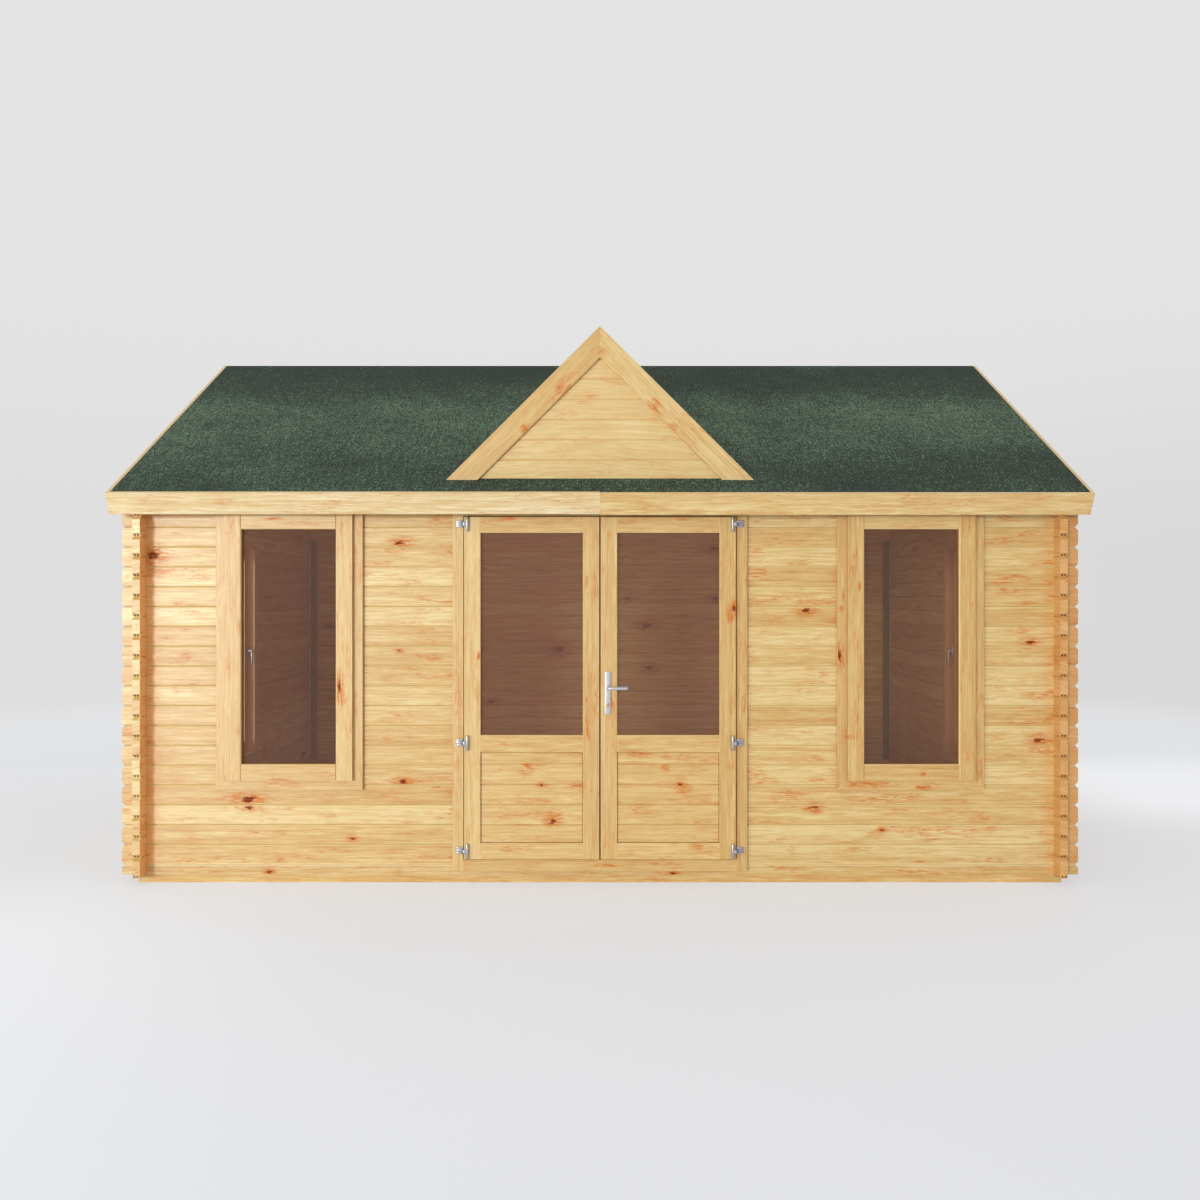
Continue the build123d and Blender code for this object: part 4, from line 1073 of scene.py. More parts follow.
def round_off(shape: Shape, edges: list[bmesh.types.BMEdge], radius: float, segments: int) -> None:
    """Round edges of a shape."""
    bmesh.ops.bevel(shape, geom=edges, offset=radius, segments=segments, affect="EDGES", profile=0.5)


def block(low: Sequence[float], high: Sequence[float], edge: float, segments: int = 2) -> Shape:
    """Box between two corners with rounded edges.

    Args:
        low: Lowest corner.
        high: Highest corner.
        edge: Radius of the edges.
        segments: Steps round an edge.

    Returns:
        The shape.
    """
    shape = bmesh.new()
    bmesh.ops.create_cube(shape, size=1.0)
    size = Vector(high) - Vector(low)
    middle = (Vector(high) + Vector(low)) / 2
    stretch = Matrix.Translation(middle) @ Matrix.Diagonal((*size, 1.0))
    bmesh.ops.transform(shape, matrix=stretch, verts=shape.verts)
    round_off(shape, list(shape.edges), edge, segments)
    return shape


def gather(name: str, shapes: Iterable[Shape]) -> bpy.types.Mesh:
    """Join closed shapes into one mesh that is smooth up to an angle.

    Args:
        name: Name of the mesh.
        shapes: The shapes, which are freed.

    Returns:
        The mesh.
    """
    whole = bmesh.new()
    for shape in shapes:
        part = bpy.data.meshes.new("part")
        shape.to_mesh(part)
        shape.free()
        whole.from_mesh(part)
        bpy.data.meshes.remove(part)
    mesh = bpy.data.meshes.new(name)
    whole.to_mesh(mesh)
    whole.free()
    mesh.shade_smooth()
    mesh.set_sharp_from_angle(angle=LOOKS_ROUND)
    return mesh


def solid_boxes(node: str) -> list[tuple[Vector, Vector]]:
    """Find the box of every separate solid in a CAD node.

    Args:
        node: The CAD node.

    Returns:
        Lowest and highest corner of each solid, from low to high and left to right.
    """
    whole = cad_shape(node)
    boxes = []
    for island in islands(whole):
        low = Vector([min(vertex.co[axis] for vertex in island) for axis in range(3)])
        high = Vector([max(vertex.co[axis] for vertex in island) for axis in range(3)])
        boxes.append((low, high))
    whole.free()
    return sorted(boxes, key=lambda box: (round(box[0].z, 3), round(box[0].x, 3), box[0].y))


def moved(shape: Shape, matrix: Matrix) -> Shape:
    """Move a shape in place and keep its faces outwards.

    Args:
        shape: The shape.
        matrix: The move.

    Returns:
        The same shape.
    """
    bmesh.ops.transform(shape, matrix=matrix, verts=shape.verts)
    if matrix.determinant() < 0:
        bmesh.ops.reverse_faces(shape, faces=shape.faces)
    return shape


def shifted(shape: Shape, x: float, y: float, z: float) -> Shape:
    """Move a shape along the three axes."""
    return moved(shape, Matrix.Translation((x, y, z)))


def facing_y(shape: Shape, x: float, y: float, z: float, way: int) -> Shape:
    """Lay a turned shape along Y, with its foot at a place and its head towards -Y (-1) or +Y (1)."""
    return moved(shape, Matrix.Translation((x, y, z)) @ Matrix.Rotation(math.radians(-90 * way), 4, "X"))


# ---------------------------------------------------------------- sub-assemblies
@dataclass
class LogWalls:
    """The four log walls, with their crossed corners."""

    front_joint: float = 0.102
    side_joint: float = 0.159
    pine: PineFinish = PineFinish("log_pine", knots=0.16, blush=0.75, figure=0.9, variety=0.40)
    left_knots: Sequence[LogKnot] = (
        (-1.149, 1.947, 0.014), (-1.132, 0.579, 0.012), (-2.016, 0.430, 0.010), (-2.575, 1.880, 0.020),
        (-1.160, 1.330, 0.006), (-1.420, 0.250, 0.007),
    )
    right_knots: Sequence[LogKnot] = (
        (1.183, 1.562, 0.013), (2.470, 1.378, 0.012), (2.522, 0.815, 0.014), (1.229, 0.430, 0.010),
        (1.62, 0.300, 0.006),
    )
    base_knots: Sequence[LogKnot] = ((1.919, 0.028, 0.012), (0.420, 0.050, 0.008), (-1.90, 0.060, 0.007))
    back_knots: Sequence[LogKnot] = (
        (-0.378, 1.166, 0.030), (-0.981, 0.696, 0.018), (0.420, 1.382, 0.022), (1.022, 2.068, 0.022),
        (1.031, 1.620, 0.018), (0.251, 1.620, 0.012), (0.448, 0.998, 0.018),
    )
    back_pine: PineFinish = PineFinish(
        "log_pine", resin=linear(176, 108, 62), knot=linear(78, 44, 30), knots=0.16, blush=0.6,
    )
    # Warm tint of the painted shade in the right-hand corners.
    right_shade_warmth: Colour = linear(214, 138, 64)
    front_end: float = 2.7265
    front_slot: float = 1.878
    front_cheek: Triple = (2.525, 2.575, 2.61)
    side_inner_face: float = 2.6062

    def dress(self) -> None:
        """Give each wall its own run of logs."""
        right_pine = replace(self.pine, shade_warmth=self.right_shade_warmth)
        # Columns: number, finish, nodes, knots, painted cheek shade, painted tip shade, darkening towards the
        # ground.
        fronts = (
            (1, self.pine, ["front_wall_left"], self.left_knots, 0.6, 0.0, 0.0),
            (2, right_pine, ["front_wall_right"], self.right_knots, 0.15, 0.5, 0.07),
            (3, self.pine, ["front_wall_base", "front_wall_head"], self.base_knots, 0.2, 0.0, 0.06),
            (4, self.back_pine, ["back_wall"], self.back_knots, 0.2, 0.0, 0.0),
        )
        for number, pine, nodes, knots, corner_shade, tip, low_darkening in fronts:
            finish = LogFinish(
                pine, WallRun.ALONG_FRONT, self.front_joint, number, end_reach=self.front_end,
                slot_line=self.front_slot, cheek=self.front_cheek, cheek_shade=corner_shade,
                tips=self.front_cheek[2], tip_shade=tip, low_darkening=low_darkening, knots=knots,
            )
            dress(nodes, finish.material())
        # Columns: number, finish, node, painted cheek shade, painted tip shade.
        for number, pine, node, corner_shade, tip in (
            (5, self.pine, "left_wall", 0.85, 0.0), (6, right_pine, "right_wall", 0.3, 0.5),
        ):
            finish = LogFinish(
                pine, WallRun.ALONG_SIDE, self.side_joint, number, inner_face=self.side_inner_face,
                cheek_shade=corner_shade, tip_shade=tip,
            )
            dress([node], finish.material())


@dataclass
class Roof:
    """Main roof: felt, boards under it, fascias, bargeboards and purlins."""

    pitch: float = math.radians(28.4)
    edge: float = 0.002
    boards: int = 58
    board_gap: float = 0.0012
    board_thick: float = 0.019
    groove: float = 0.004
    fascia: PineFinish = PineFinish(
        "fascia_pine", pale=linear(242, 226, 184), straw=linear(228, 200, 146), honey=linear(210, 168, 106),
        knots=0.1, blush=0.5, flank_shading=linear(226, 196, 140),
    )
    fascia_right: PineFinish = PineFinish(
        "fascia_right_pine", pale=linear(238, 214, 158), straw=linear(223, 189, 124),
        honey=linear(206, 158, 90), knots=0.1, blush=0.5, flank_shading=linear(226, 196, 140),
    )

    def uphill(self, end: int) -> Vector:
        """Point from the eaves to the ridge on the front (-1) or the back (1) slope."""
        return Vector((0.0, -end * math.cos(self.pitch), math.sin(self.pitch)))

    def outwards(self, end: int) -> Vector:
        """Point square out of the front (-1) or the back (1) slope."""
        return Vector((0.0, end * math.sin(self.pitch), math.cos(self.pitch)))

    def build(self, trim: Material, lining: Material, felt: Material) -> None:
        """Build and dress the roof.

        Args:
            trim: Material of the trim boards.
            lining: Material of the roof boards and purlins.
            felt: Material of the felt.
        """
        dress(["roof_felt_front", "roof_felt_back"], felt)
        for node, end, finish, seed in (
            ("fascia_front_left", -1, self.fascia, 0.13), ("fascia_front_right", -1, self.fascia_right, 0.75),
            ("fascia_back", 1, self.fascia, 0.37),
        ):
            board = Joinery(node.replace("fascia", "fascia_board"), seed, self.edge)
            board.add_node(node, RIGHT, self.outwards(end))
            board.finish(finish.on_boards(), "cabin", "trim_pine", [node])
        for side, seed in (("left", 0.31), ("right", 0.57)):
            node = f"bargeboards_{side}"
            for end, name in ((-1, "front"), (1, "back")):
                self.rake(node, f"rake_board_{side}_{name}", end, seed + 0.1 * end, trim)
        self.line(lining)
        beams = Joinery("roof_beams", 0.71, self.edge)
        beams.add_node("purlins", RIGHT, UP)
        beams.finish(lining, "cabin", "roof_pine", ["purlins"])

    def rake(self, node: str, name: str, end: int, seed: float, trim: Material) -> None:
        """Build one sloping bargeboard.

        Args:
            node: CAD node that holds both boards of this gable end.
            name: Name of the piece.
            end: -1 for the front slope and 1 for the back one.
            seed: Seed of its figure.
            trim: Its material.
        """
        board = Joinery(name, seed, self.edge)
        whole = Joinery(f"{name}_all", seed, self.edge)
        whole.add_node(node, self.uphill(end), self.outwards(end))
        keep = [index for index, point in enumerate(whole.points) if point.y * end > 0]
        places = {old: new for new, old in enumerate(keep)}
        board.points = [whole.points[index] for index in keep]
        board.grain = [whole.grain[index] for index in keep]
        board.seeds = [seed for _ in keep]
        kept = [number for number, face in enumerate(whole.faces) if face[0] in places]
        board.faces = [[places[index] for index in whole.faces[number]] for number in kept]
        board.rims = [whole.rims[number] for number in kept]
        board.finish(trim, "cabin", "trim_pine", [node])

    def line(self, lining: Material) -> None:
        """Lay the roof boards, ridge to eaves, under the felt of both slopes.

        Args:
            lining: Their material.
        """
        for node, end in (("roof_boards_front", -1), ("roof_boards_back", 1)):
            low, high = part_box(node)
            step = (high.x - low.x) / self.boards
            half, notch, thick = (step - self.board_gap) / 2, self.groove, self.board_thick
            section = [
                (-half, notch), (-half + notch, 0.0), (half - notch, 0.0), (half, notch), (half, thick),
                (-half, thick),
            ]
            along, outwards = self.uphill(end), self.outwards(end)
            eaves = low.y if end < 0 else high.y
            foot = Vector((0.0, eaves - end * thick * math.sin(self.pitch), low.z))
            length = abs(foot.y) / math.cos(self.pitch)
            board = Joinery("lining_board", 0.2, 0.0)
            board.add(Board(foot, along, outwards.cross(along), length, section))
            places = [(RIGHT * (low.x + step * (index + 0.5)), UP) for index in range(self.boards)]
            name = "lining_boards_front" if end < 0 else "lining_boards_back"
            mesh = Repeater().mesh(name, board.mesh(), places, lining, 11 + end)
            settle(mesh, lining, "cabin", [node])


@dataclass
class Floor:
    """Floor boards on their bearers."""

    boards: int = 46
    gap: float = 0.0012
    groove: float = 0.002

    def build(self, pine: Material) -> None:
        """Lay the boards from front to back and dress the bearers.

        Args:
            pine: Their material.
        """
        low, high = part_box("floor_boards")
        step = (high.x - low.x) / self.boards
        half, edge, thick = (step - self.gap) / 2, self.groove, high.z - low.z
        section = [
            (-half, 0.0), (half, 0.0), (half, thick - edge), (half - edge, thick), (-half + edge, thick),
            (-half, thick - edge),
        ]
        board = Joinery("floor_board", 0.4, 0.0)
        board.add(Board(Vector((0.0, low.y, low.z)), BACKWARD, -RIGHT, high.y - low.y, section))
        places = [(RIGHT * (low.x + step * (index + 0.5)), UP) for index in range(self.boards)]
        mesh = Repeater().mesh("floor_planks", board.mesh(), places, pine, 21)
        settle(mesh, pine, "cabin", ["floor_boards"])
        bearers = Joinery("bearer_frame", 0.9)
        bearers.add_node("floor_bearers", RIGHT, UP)
        bearers.finish(pine, "cabin", "floor_pine", ["floor_bearers"])


@dataclass
class FrontGable:
    """Decorative gable on the front slope."""

    edge: float = 0.002
    cladding_edge: float = 0.0015
    # Rim of the cladding's bevels, which gives them much of the painted flank shade.
    cladding_rim: float = 0.6

    def build(self, trim: Material, lining: Material, felt: Material) -> None:
        """Build and dress the gable.

        Args:
            trim: Material of the bargeboards.
            lining: Material of its roof boards.
            felt: Material of its felt.
        """
        for side, turn, seed in (("left", 1, 0.43), ("right", -1, 0.87)):
            node = f"gable_bargeboard_{side}"
            board = Joinery(f"gable_rake_{side}", seed, self.edge)
            board.add_node(node, (UP + turn * RIGHT).normalized(), (UP - turn * RIGHT).normalized())
            board.finish(trim, "cabin", "trim_pine", [node])
        dress(["gable_roof_felt"], felt)
        slopes = Joinery("gable_lining", 0.5, 0.0)
        slopes.add_node("gable_roof_boards", BACKWARD, RIGHT)
        slopes.finish(lining, "cabin", "roof_pine", ["gable_roof_boards"])

    def clad(self, pine: Material) -> None:
        """Board the triangle.

        Args:
            pine: Material of the cladding.
        """
        cladding = Joinery("gable_boards", 0.35, self.cladding_edge, bevel_rim=self.cladding_rim)
        cladding.add_node("gable_cladding", RIGHT, UP)
        cladding.finish(pine, "cabin", "trim_pine", ["gable_cladding"])


@dataclass
class Face:
    """A plane that a window or a door lies in."""

    centre: Vector
    right: Vector
    out: Vector

    def ring(self, joinery: Joinery, half_width: float, half_height: float, section: Outline,
             mitred: bool = True) -> None:
        """Add four boards round an opening.

        Args:
            joinery: Where the boards go.
            half_width: Half of the opening's width.
            half_height: Half of its height.
            section: (away from the opening, out of the wall) points.
            mitred: Mitred corners; otherwise the uprights run past the rails.
        """
        widest = max(across for across, _ in section)
        for turn in (-1, 1):
            cut = 1.0 if mitred else 0.0
            reach = half_height if mitred else half_height + widest
            across = self.right * turn
            along = across.cross(self.out)
            start = self.centre + across * half_width - along * reach
            joinery.add(Board(start, along, across, 2 * reach, section, -cut, cut))
        for turn in (-1, 1):
            across = UP * turn
            along = across.cross(self.out)
            start = self.centre + across * half_height - along * half_width
            joinery.add(Board(start, along, across, 2 * half_width, section, -cut, cut))


@dataclass
class Window:
    """One tall window: casings, lining and sash round the CAD pane."""

    side: str
    face: Face
    seed: float
    sash: Span = (0.731, 1.533)
    stile: float = 0.0955
    lip: float = 0.015
    mould: float = 0.006
    casing: float = 0.068
    casing_thick: float = 0.020
    wall: float = 0.044
    lining: float = 0.026
    sash_front: float = 0.042
    sash_back: float = -0.014
    fit: float = 0.002
    casing_edge: float = 0.0018
    sash_edge: float = 0.0012

    def build(self, pine: Material) -> None:
        """Build the window's boards.

        Args:
            pine: Their material.
        """
        width = self.sash[0] / 2 - self.lip + self.fit
        height = self.sash[1] / 2 - self.lip + self.fit
        frame_boards = Joinery(f"{self.side}_window_casings", self.seed, self.casing_edge)
        for low, high in ((0.0, self.casing_thick), (-self.wall - self.casing_thick, -self.wall)):
            self.face.ring(frame_boards, width, height, strip(0.0, self.casing, low, high))
        self.face.ring(frame_boards, width, height, strip(0.0, self.lining, -self.wall, 0.0))
        place, name = self.side.split("_")
        frame_boards.finish(pine, "cabin", "joinery_pine", [f"{place}_window_frame_{name}"])

        sash = Joinery(f"{self.side}_window_sash", self.seed + 0.37, self.sash_edge)
        stile, lip, mould = self.stile, self.lip, self.mould
        front, back, step = self.sash_front, self.sash_back, self.casing_thick
        section = [
            (0.0, back), (stile - lip, back), (stile - lip, step), (stile, step),
            (stile, front), (mould, front), (0.0, front - mould),
        ]
        light = (self.sash[0] / 2 - stile, self.sash[1] / 2 - stile)
        self.face.ring(sash, light[0], light[1], section, mitred=False)
        sash.finish(pine, "cabin", "joinery_pine", [f"{place}_window_sash_{name}"])


@dataclass
class DoorFrame:
    """Casings, lining and stops round the doorway."""

    inner: float = 0.782
    bottom: float = 0.134
    top: float = 2.102
    casing: float = 0.062
    sill: float = 0.066
    casing_thick: float = 0.020
    wall: float = 0.044
    lining: float = 0.025
    stop: float = 0.022
    stop_front: float = -0.012
    edge: float = 0.0018

    def build(self, wall_front: float, pine: Material) -> None:
        """Build the frame's boards.

        Args:
            wall_front: Y of the front wall's outer face.
            pine: Their material.
        """
        middle = Vector((0.0, wall_front, (self.bottom + self.top) / 2))
        face = Face(middle, RIGHT, -BACKWARD)
        boards = Joinery("door_casings", 0.77, self.edge)
        thick = self.casing_thick
        low, high = self.bottom - self.sill, self.top + self.casing
        for turn in (-1, 1):
            across = RIGHT * turn
            along = across.cross(face.out)
            start = Vector((turn * self.inner, wall_front, low if along.z > 0 else high))
            boards.add(Board(start, along, across, high - low, strip(0.0, self.casing, 0.0, thick)))
        for turn, size in ((-1, self.sill), (1, self.casing)):
            across = UP * turn
            along = across.cross(face.out)
            start = Vector((-along.x * self.inner, wall_front, self.bottom if turn < 0 else self.top))
            boards.add(Board(start, along, across, 2 * self.inner, strip(0.0, size, 0.0, thick)))
        half_height = (self.top - self.bottom) / 2
        stop, lining, wall = self.stop, self.lining, self.wall
        front = self.stop_front
        inside = [(-stop, -wall), (lining, -wall), (lining, 0.0), (0.0, 0.0), (0.0, front), (-stop, front)]
        face.ring(boards, self.inner, half_height, inside)
        face.ring(boards, self.inner, half_height, strip(-stop, self.casing, -wall - thick, -wall))
        boards.finish(pine, "cabin", "joinery_pine", ["door_frame"])


@dataclass
class DoorLeaf:
    """One leaf: stiles and rails round a pane and a boarded panel."""

    side: str
    turn: int
    seed: float
    panel_seed: float
    inner: float = 0.004
    outer: float = 0.776
    bottom: float = 0.140
    top: float = 2.096
    front: float = -1.942
    thick: float = 0.044
    stile: float = 0.094
    top_rail: float = 0.091
    middle_rail: float = 0.099
    bottom_rail: float = 0.094
    panel: float = 0.518
    panel_set: float = 0.010
    panel_thick: float = 0.024
    first_board: float = 0.102
    cover: float = 0.1157
    edge: float = 0.0022
    groove: float = 0.004
    # Rim of the panel boards' bevels, which gives them a little of the painted flank shade.
    groove_rim: float = 0.32

    def across_face(self, low: float, high: float, bottom: float, top: float, grain_up: bool,
                    joinery: Joinery, back: float, front: float) -> None:
        """Add one flat board of the leaf.

        Args:
            low: Distance from the middle of the doorway to its near edge.
            high: Distance to its far edge.
            bottom: Height of its lower edge.
            top: Height of its upper edge.
            grain_up: The grain runs upwards; otherwise it runs sideways.
            joinery: Where it goes.
            back: Depth of its back behind the leaf's face.
            front: Depth of its front behind the leaf's face.
        """
        middle = self.turn * (low + high) / 2
        y = self.front + back
        if grain_up:
            start = Vector((middle, y, bottom))
            board = Board(start, UP, RIGHT * -1, top - bottom, plank(high - low, back - front))
        else:
            start = Vector((self.turn * low if self.turn > 0 else -high, y, (bottom + top) / 2))
            board = Board(start, RIGHT, UP, high - low, plank(top - bottom, back - front))
        if board.out.y > 0:
            board.section = [(across, -out) for across, out in board.section][::-1]
        joinery.add(board)

    def build(self, pine: Material) -> None:
        """Build the leaf's boards.

        Args:
            pine: Their material.
        """
        boards = Joinery(f"door_boards_{self.side}", self.seed, self.edge)
        near, far = self.inner + self.stile, self.outer - self.stile
        panel_bottom = self.bottom + self.bottom_rail
        panel_top = panel_bottom + self.panel
        light_bottom = panel_top + self.middle_rail
        light_top = self.top - self.top_rail
        self.across_face(self.inner, near, self.bottom, self.top, True, boards, self.thick, 0.0)
        self.across_face(far, self.outer, self.bottom, self.top, True, boards, self.thick, 0.0)
        for bottom, top in ((self.bottom, panel_bottom), (panel_top, light_bottom), (light_top, self.top)):
            self.across_face(near, far, bottom, top, False, boards, self.thick, 0.0)
        heights = [panel_bottom]
        while heights[-1] + self.cover < panel_top:
            heights.append(panel_bottom + self.first_board + (len(heights) - 1) * self.cover)
        heights = [height for height in heights if height < panel_top] + [panel_top]
        boards.edge, boards.bevel_rim, boards.seed = self.groove, self.groove_rim, self.panel_seed
        back = self.panel_set + self.panel_thick
        for bottom, top in zip(heights, heights[1:]):
            self.across_face(near, far, bottom, top, False, boards, back, self.panel_set)
        boards.finish(pine, f"door_{self.side}", "joinery_pine", [f"door_leaf_{self.side}"])


@dataclass
class Hinges:
    """Six lift-off hinges: round barrels on the leaves, ribbed brackets and pins on the casing."""

    radius: float = 0.008
    bevel: float = 0.0006
    cap: float = 0.003
    sides: int = 28
    pin: float = 0.004
    pin_point: float = 0.001
    pin_cap: float = 0.006
    play: float = 0.0003
    split: float = 0.0083
    stud: Outline = ((0.0, 0.0055), (0.004, 0.0055), (0.004, 0.011), (0.006, 0.012), (0.0, 0.012))
    stud_inset: float = 0.008
    arm: float = 0.003
    arm_below: float = 0.013
    arm_above: float = 0.0075
    arm_edge: float = 0.0012
    arm_sunk: float = 0.001
    plate: float = 0.004
    plate_wide: float = 0.042
    plate_half: float = 0.0195
    plate_edge: float = 0.0008
    rib: float = 0.011
    rib_gap: float = 0.0030
    rib_inset: float = 0.0005
    rib_out: float = 0.0100
    rib_in: float = 0.003
    rib_edge: float = 0.0026
    screw: Outline = ((0.0, -0.002), (0.0014, -0.002), (0.0014, 0.0006), (0.0, 0.0010))
    screw_inset: float = 0.012

    def barrel(self, bottom: float, top: float, capped_top: bool, bore: float = 0.0) -> Shape:
        """Turn one barrel with a domed outer end and a small bevel at the split.

        Args:
            bottom: Height of its lower end.
            top: Height of its upper end.
            capped_top: The dome is at the top.
            bore: Depth of the hole for the pin, from the split.

        Returns:
            The barrel, round the Z axis.
        """
        dome = [(self.radius * math.cos(turn), self.cap * math.sin(turn)) for turn in (0.0, 0.4, 0.8, 1.2)]
        wide = self.pin + self.play
        hole = [(0.0, bore), (wide, bore), (wide, 0.0)] if bore else [(0.0, 0.0)]
        flat = hole + [(self.radius - self.bevel, 0.0), (self.radius, self.bevel)]
        length = top - bottom
        profile = flat + [(radius, length - self.cap + rise) for radius, rise in dome] + [(0.0, length)]
        shape = lathe(profile, self.sides)
        if capped_top:
            return shifted(shape, 0.0, 0.0, bottom)
        return moved(shape, Matrix.Translation((0.0, 0.0, top)) @ Matrix.Diagonal((1.0, 1.0, -1.0, 1.0)))

    def leaf_parts(self, side: str, steel: Material) -> list[Vector]:
        """Build the barrels of one leaf with the two feet that fix each of them.

        Args:
            side: left or right.
            steel: Their material.

        Returns:
            The middle of each barrel's foot line on the hinge axis.
        """
        shapes = []
        axes = []
        for low, high in solid_boxes(f"hinge_barrels_{side}"):
            x, y = (low.x + high.x) / 2, low.y + self.radius
            axes.append(Vector((x, y, low.z)))
            shapes.append(shifted(self.barrel(low.z, high.z, True, high.z - low.z - self.pin_cap), x, y, 0.0))
            for z in (low.z + self.stud_inset, high.z - self.stud_inset):
                shapes.append(facing_y(lathe(self.stud, 16), x, y, z, 1))
        mesh = gather(f"hinge_leaf_parts_{side}", shapes)
        settle(mesh, steel, f"door_{side}", [f"hinge_barrels_{side}"])
        return axes

    def bracket(self, axis: Vector, low: Vector, high: Vector) -> list[Shape]:
        """Build one casing part: lower barrel, pin, arm and a bracket of three ribs on a plate.

        Args:
            axis: Foot of the upper barrel on the hinge axis.
            low: Lowest corner of the CAD solid.
            high: Highest corner of the CAD solid.

        Returns:
            The shapes.
        """
        turn = 1 if axis.x > 0 else -1
        foot = axis.z - self.play
        reach = high.z - axis.z
        pin = [(0.0, 0.0), (self.pin, 0.0), (self.pin, reach - self.pin_point), (0.0, reach)]
        shapes = [
            shifted(self.barrel(low.z, foot, False), axis.x, axis.y, 0.0),
            shifted(lathe(pin, 16), axis.x, axis.y, foot),
        ]
        far = high.x if turn > 0 else low.x
        face = high.y
        middle = axis.z - self.split
        start = far - turn * self.plate_wide
        inner = start + turn * 2 * self.arm
        below, above = middle - self.arm_below, middle + self.arm_above
        front, back = axis.y - self.arm, axis.y + self.arm
        for near, deep in ((axis.x + turn * self.radius * 0.6, back), (start, face - self.arm_sunk)):
            left, right = min(near, inner), max(near, inner)
            shapes.append(block((left, front, below), (right, deep, above), self.arm_edge))
        left, right = min(start, far), max(start, far)
        low_corner = (left, face - self.plate, middle - self.plate_half)
        shapes.append(block(low_corner, (right, face, middle + self.plate_half), self.plate_edge))
        left, right = left + self.rib_inset, right - self.rib_inset
        for row in (-1, 0, 1):
            z = middle + row * (self.rib + self.rib_gap)
            low_corner = (left, face - self.rib_out, z - self.rib / 2)
            shapes.append(block(low_corner, (right, face - self.rib_in, z + self.rib / 2), self.rib_edge, 3))
        return shapes

    def build(self, steel: Material) -> None:
        """Build all the hinges.

        Args:
            steel: Their material.
        """
        axes = self.leaf_parts("left", steel) + self.leaf_parts("right", steel)
        shapes = []
        screws = []
        for low, high in solid_boxes("hinge_brackets"):
            axis = min(axes, key=lambda spot: (spot - (low + high) / 2).length)
            shapes += self.bracket(axis, low, high)
            turn = 1 if axis.x > 0 else -1
            far = high.x if turn > 0 else low.x
            for row in (-0.5, 0.5):
                z = axis.z - self.split + row * (self.rib + self.rib_gap)
                screws.append((Vector((far - turn * self.screw_inset, high.y - self.plate, z)), -BACKWARD))
        settle(gather("hinge_casing_parts", shapes), steel, "cabin", ["hinge_brackets"])
        screw = gather("bracket_screw", [lathe(self.screw, 12)])
        mesh = Repeater().mesh("bracket_screws", screw, screws, steel, 3)
        settle(mesh, steel, "cabin")


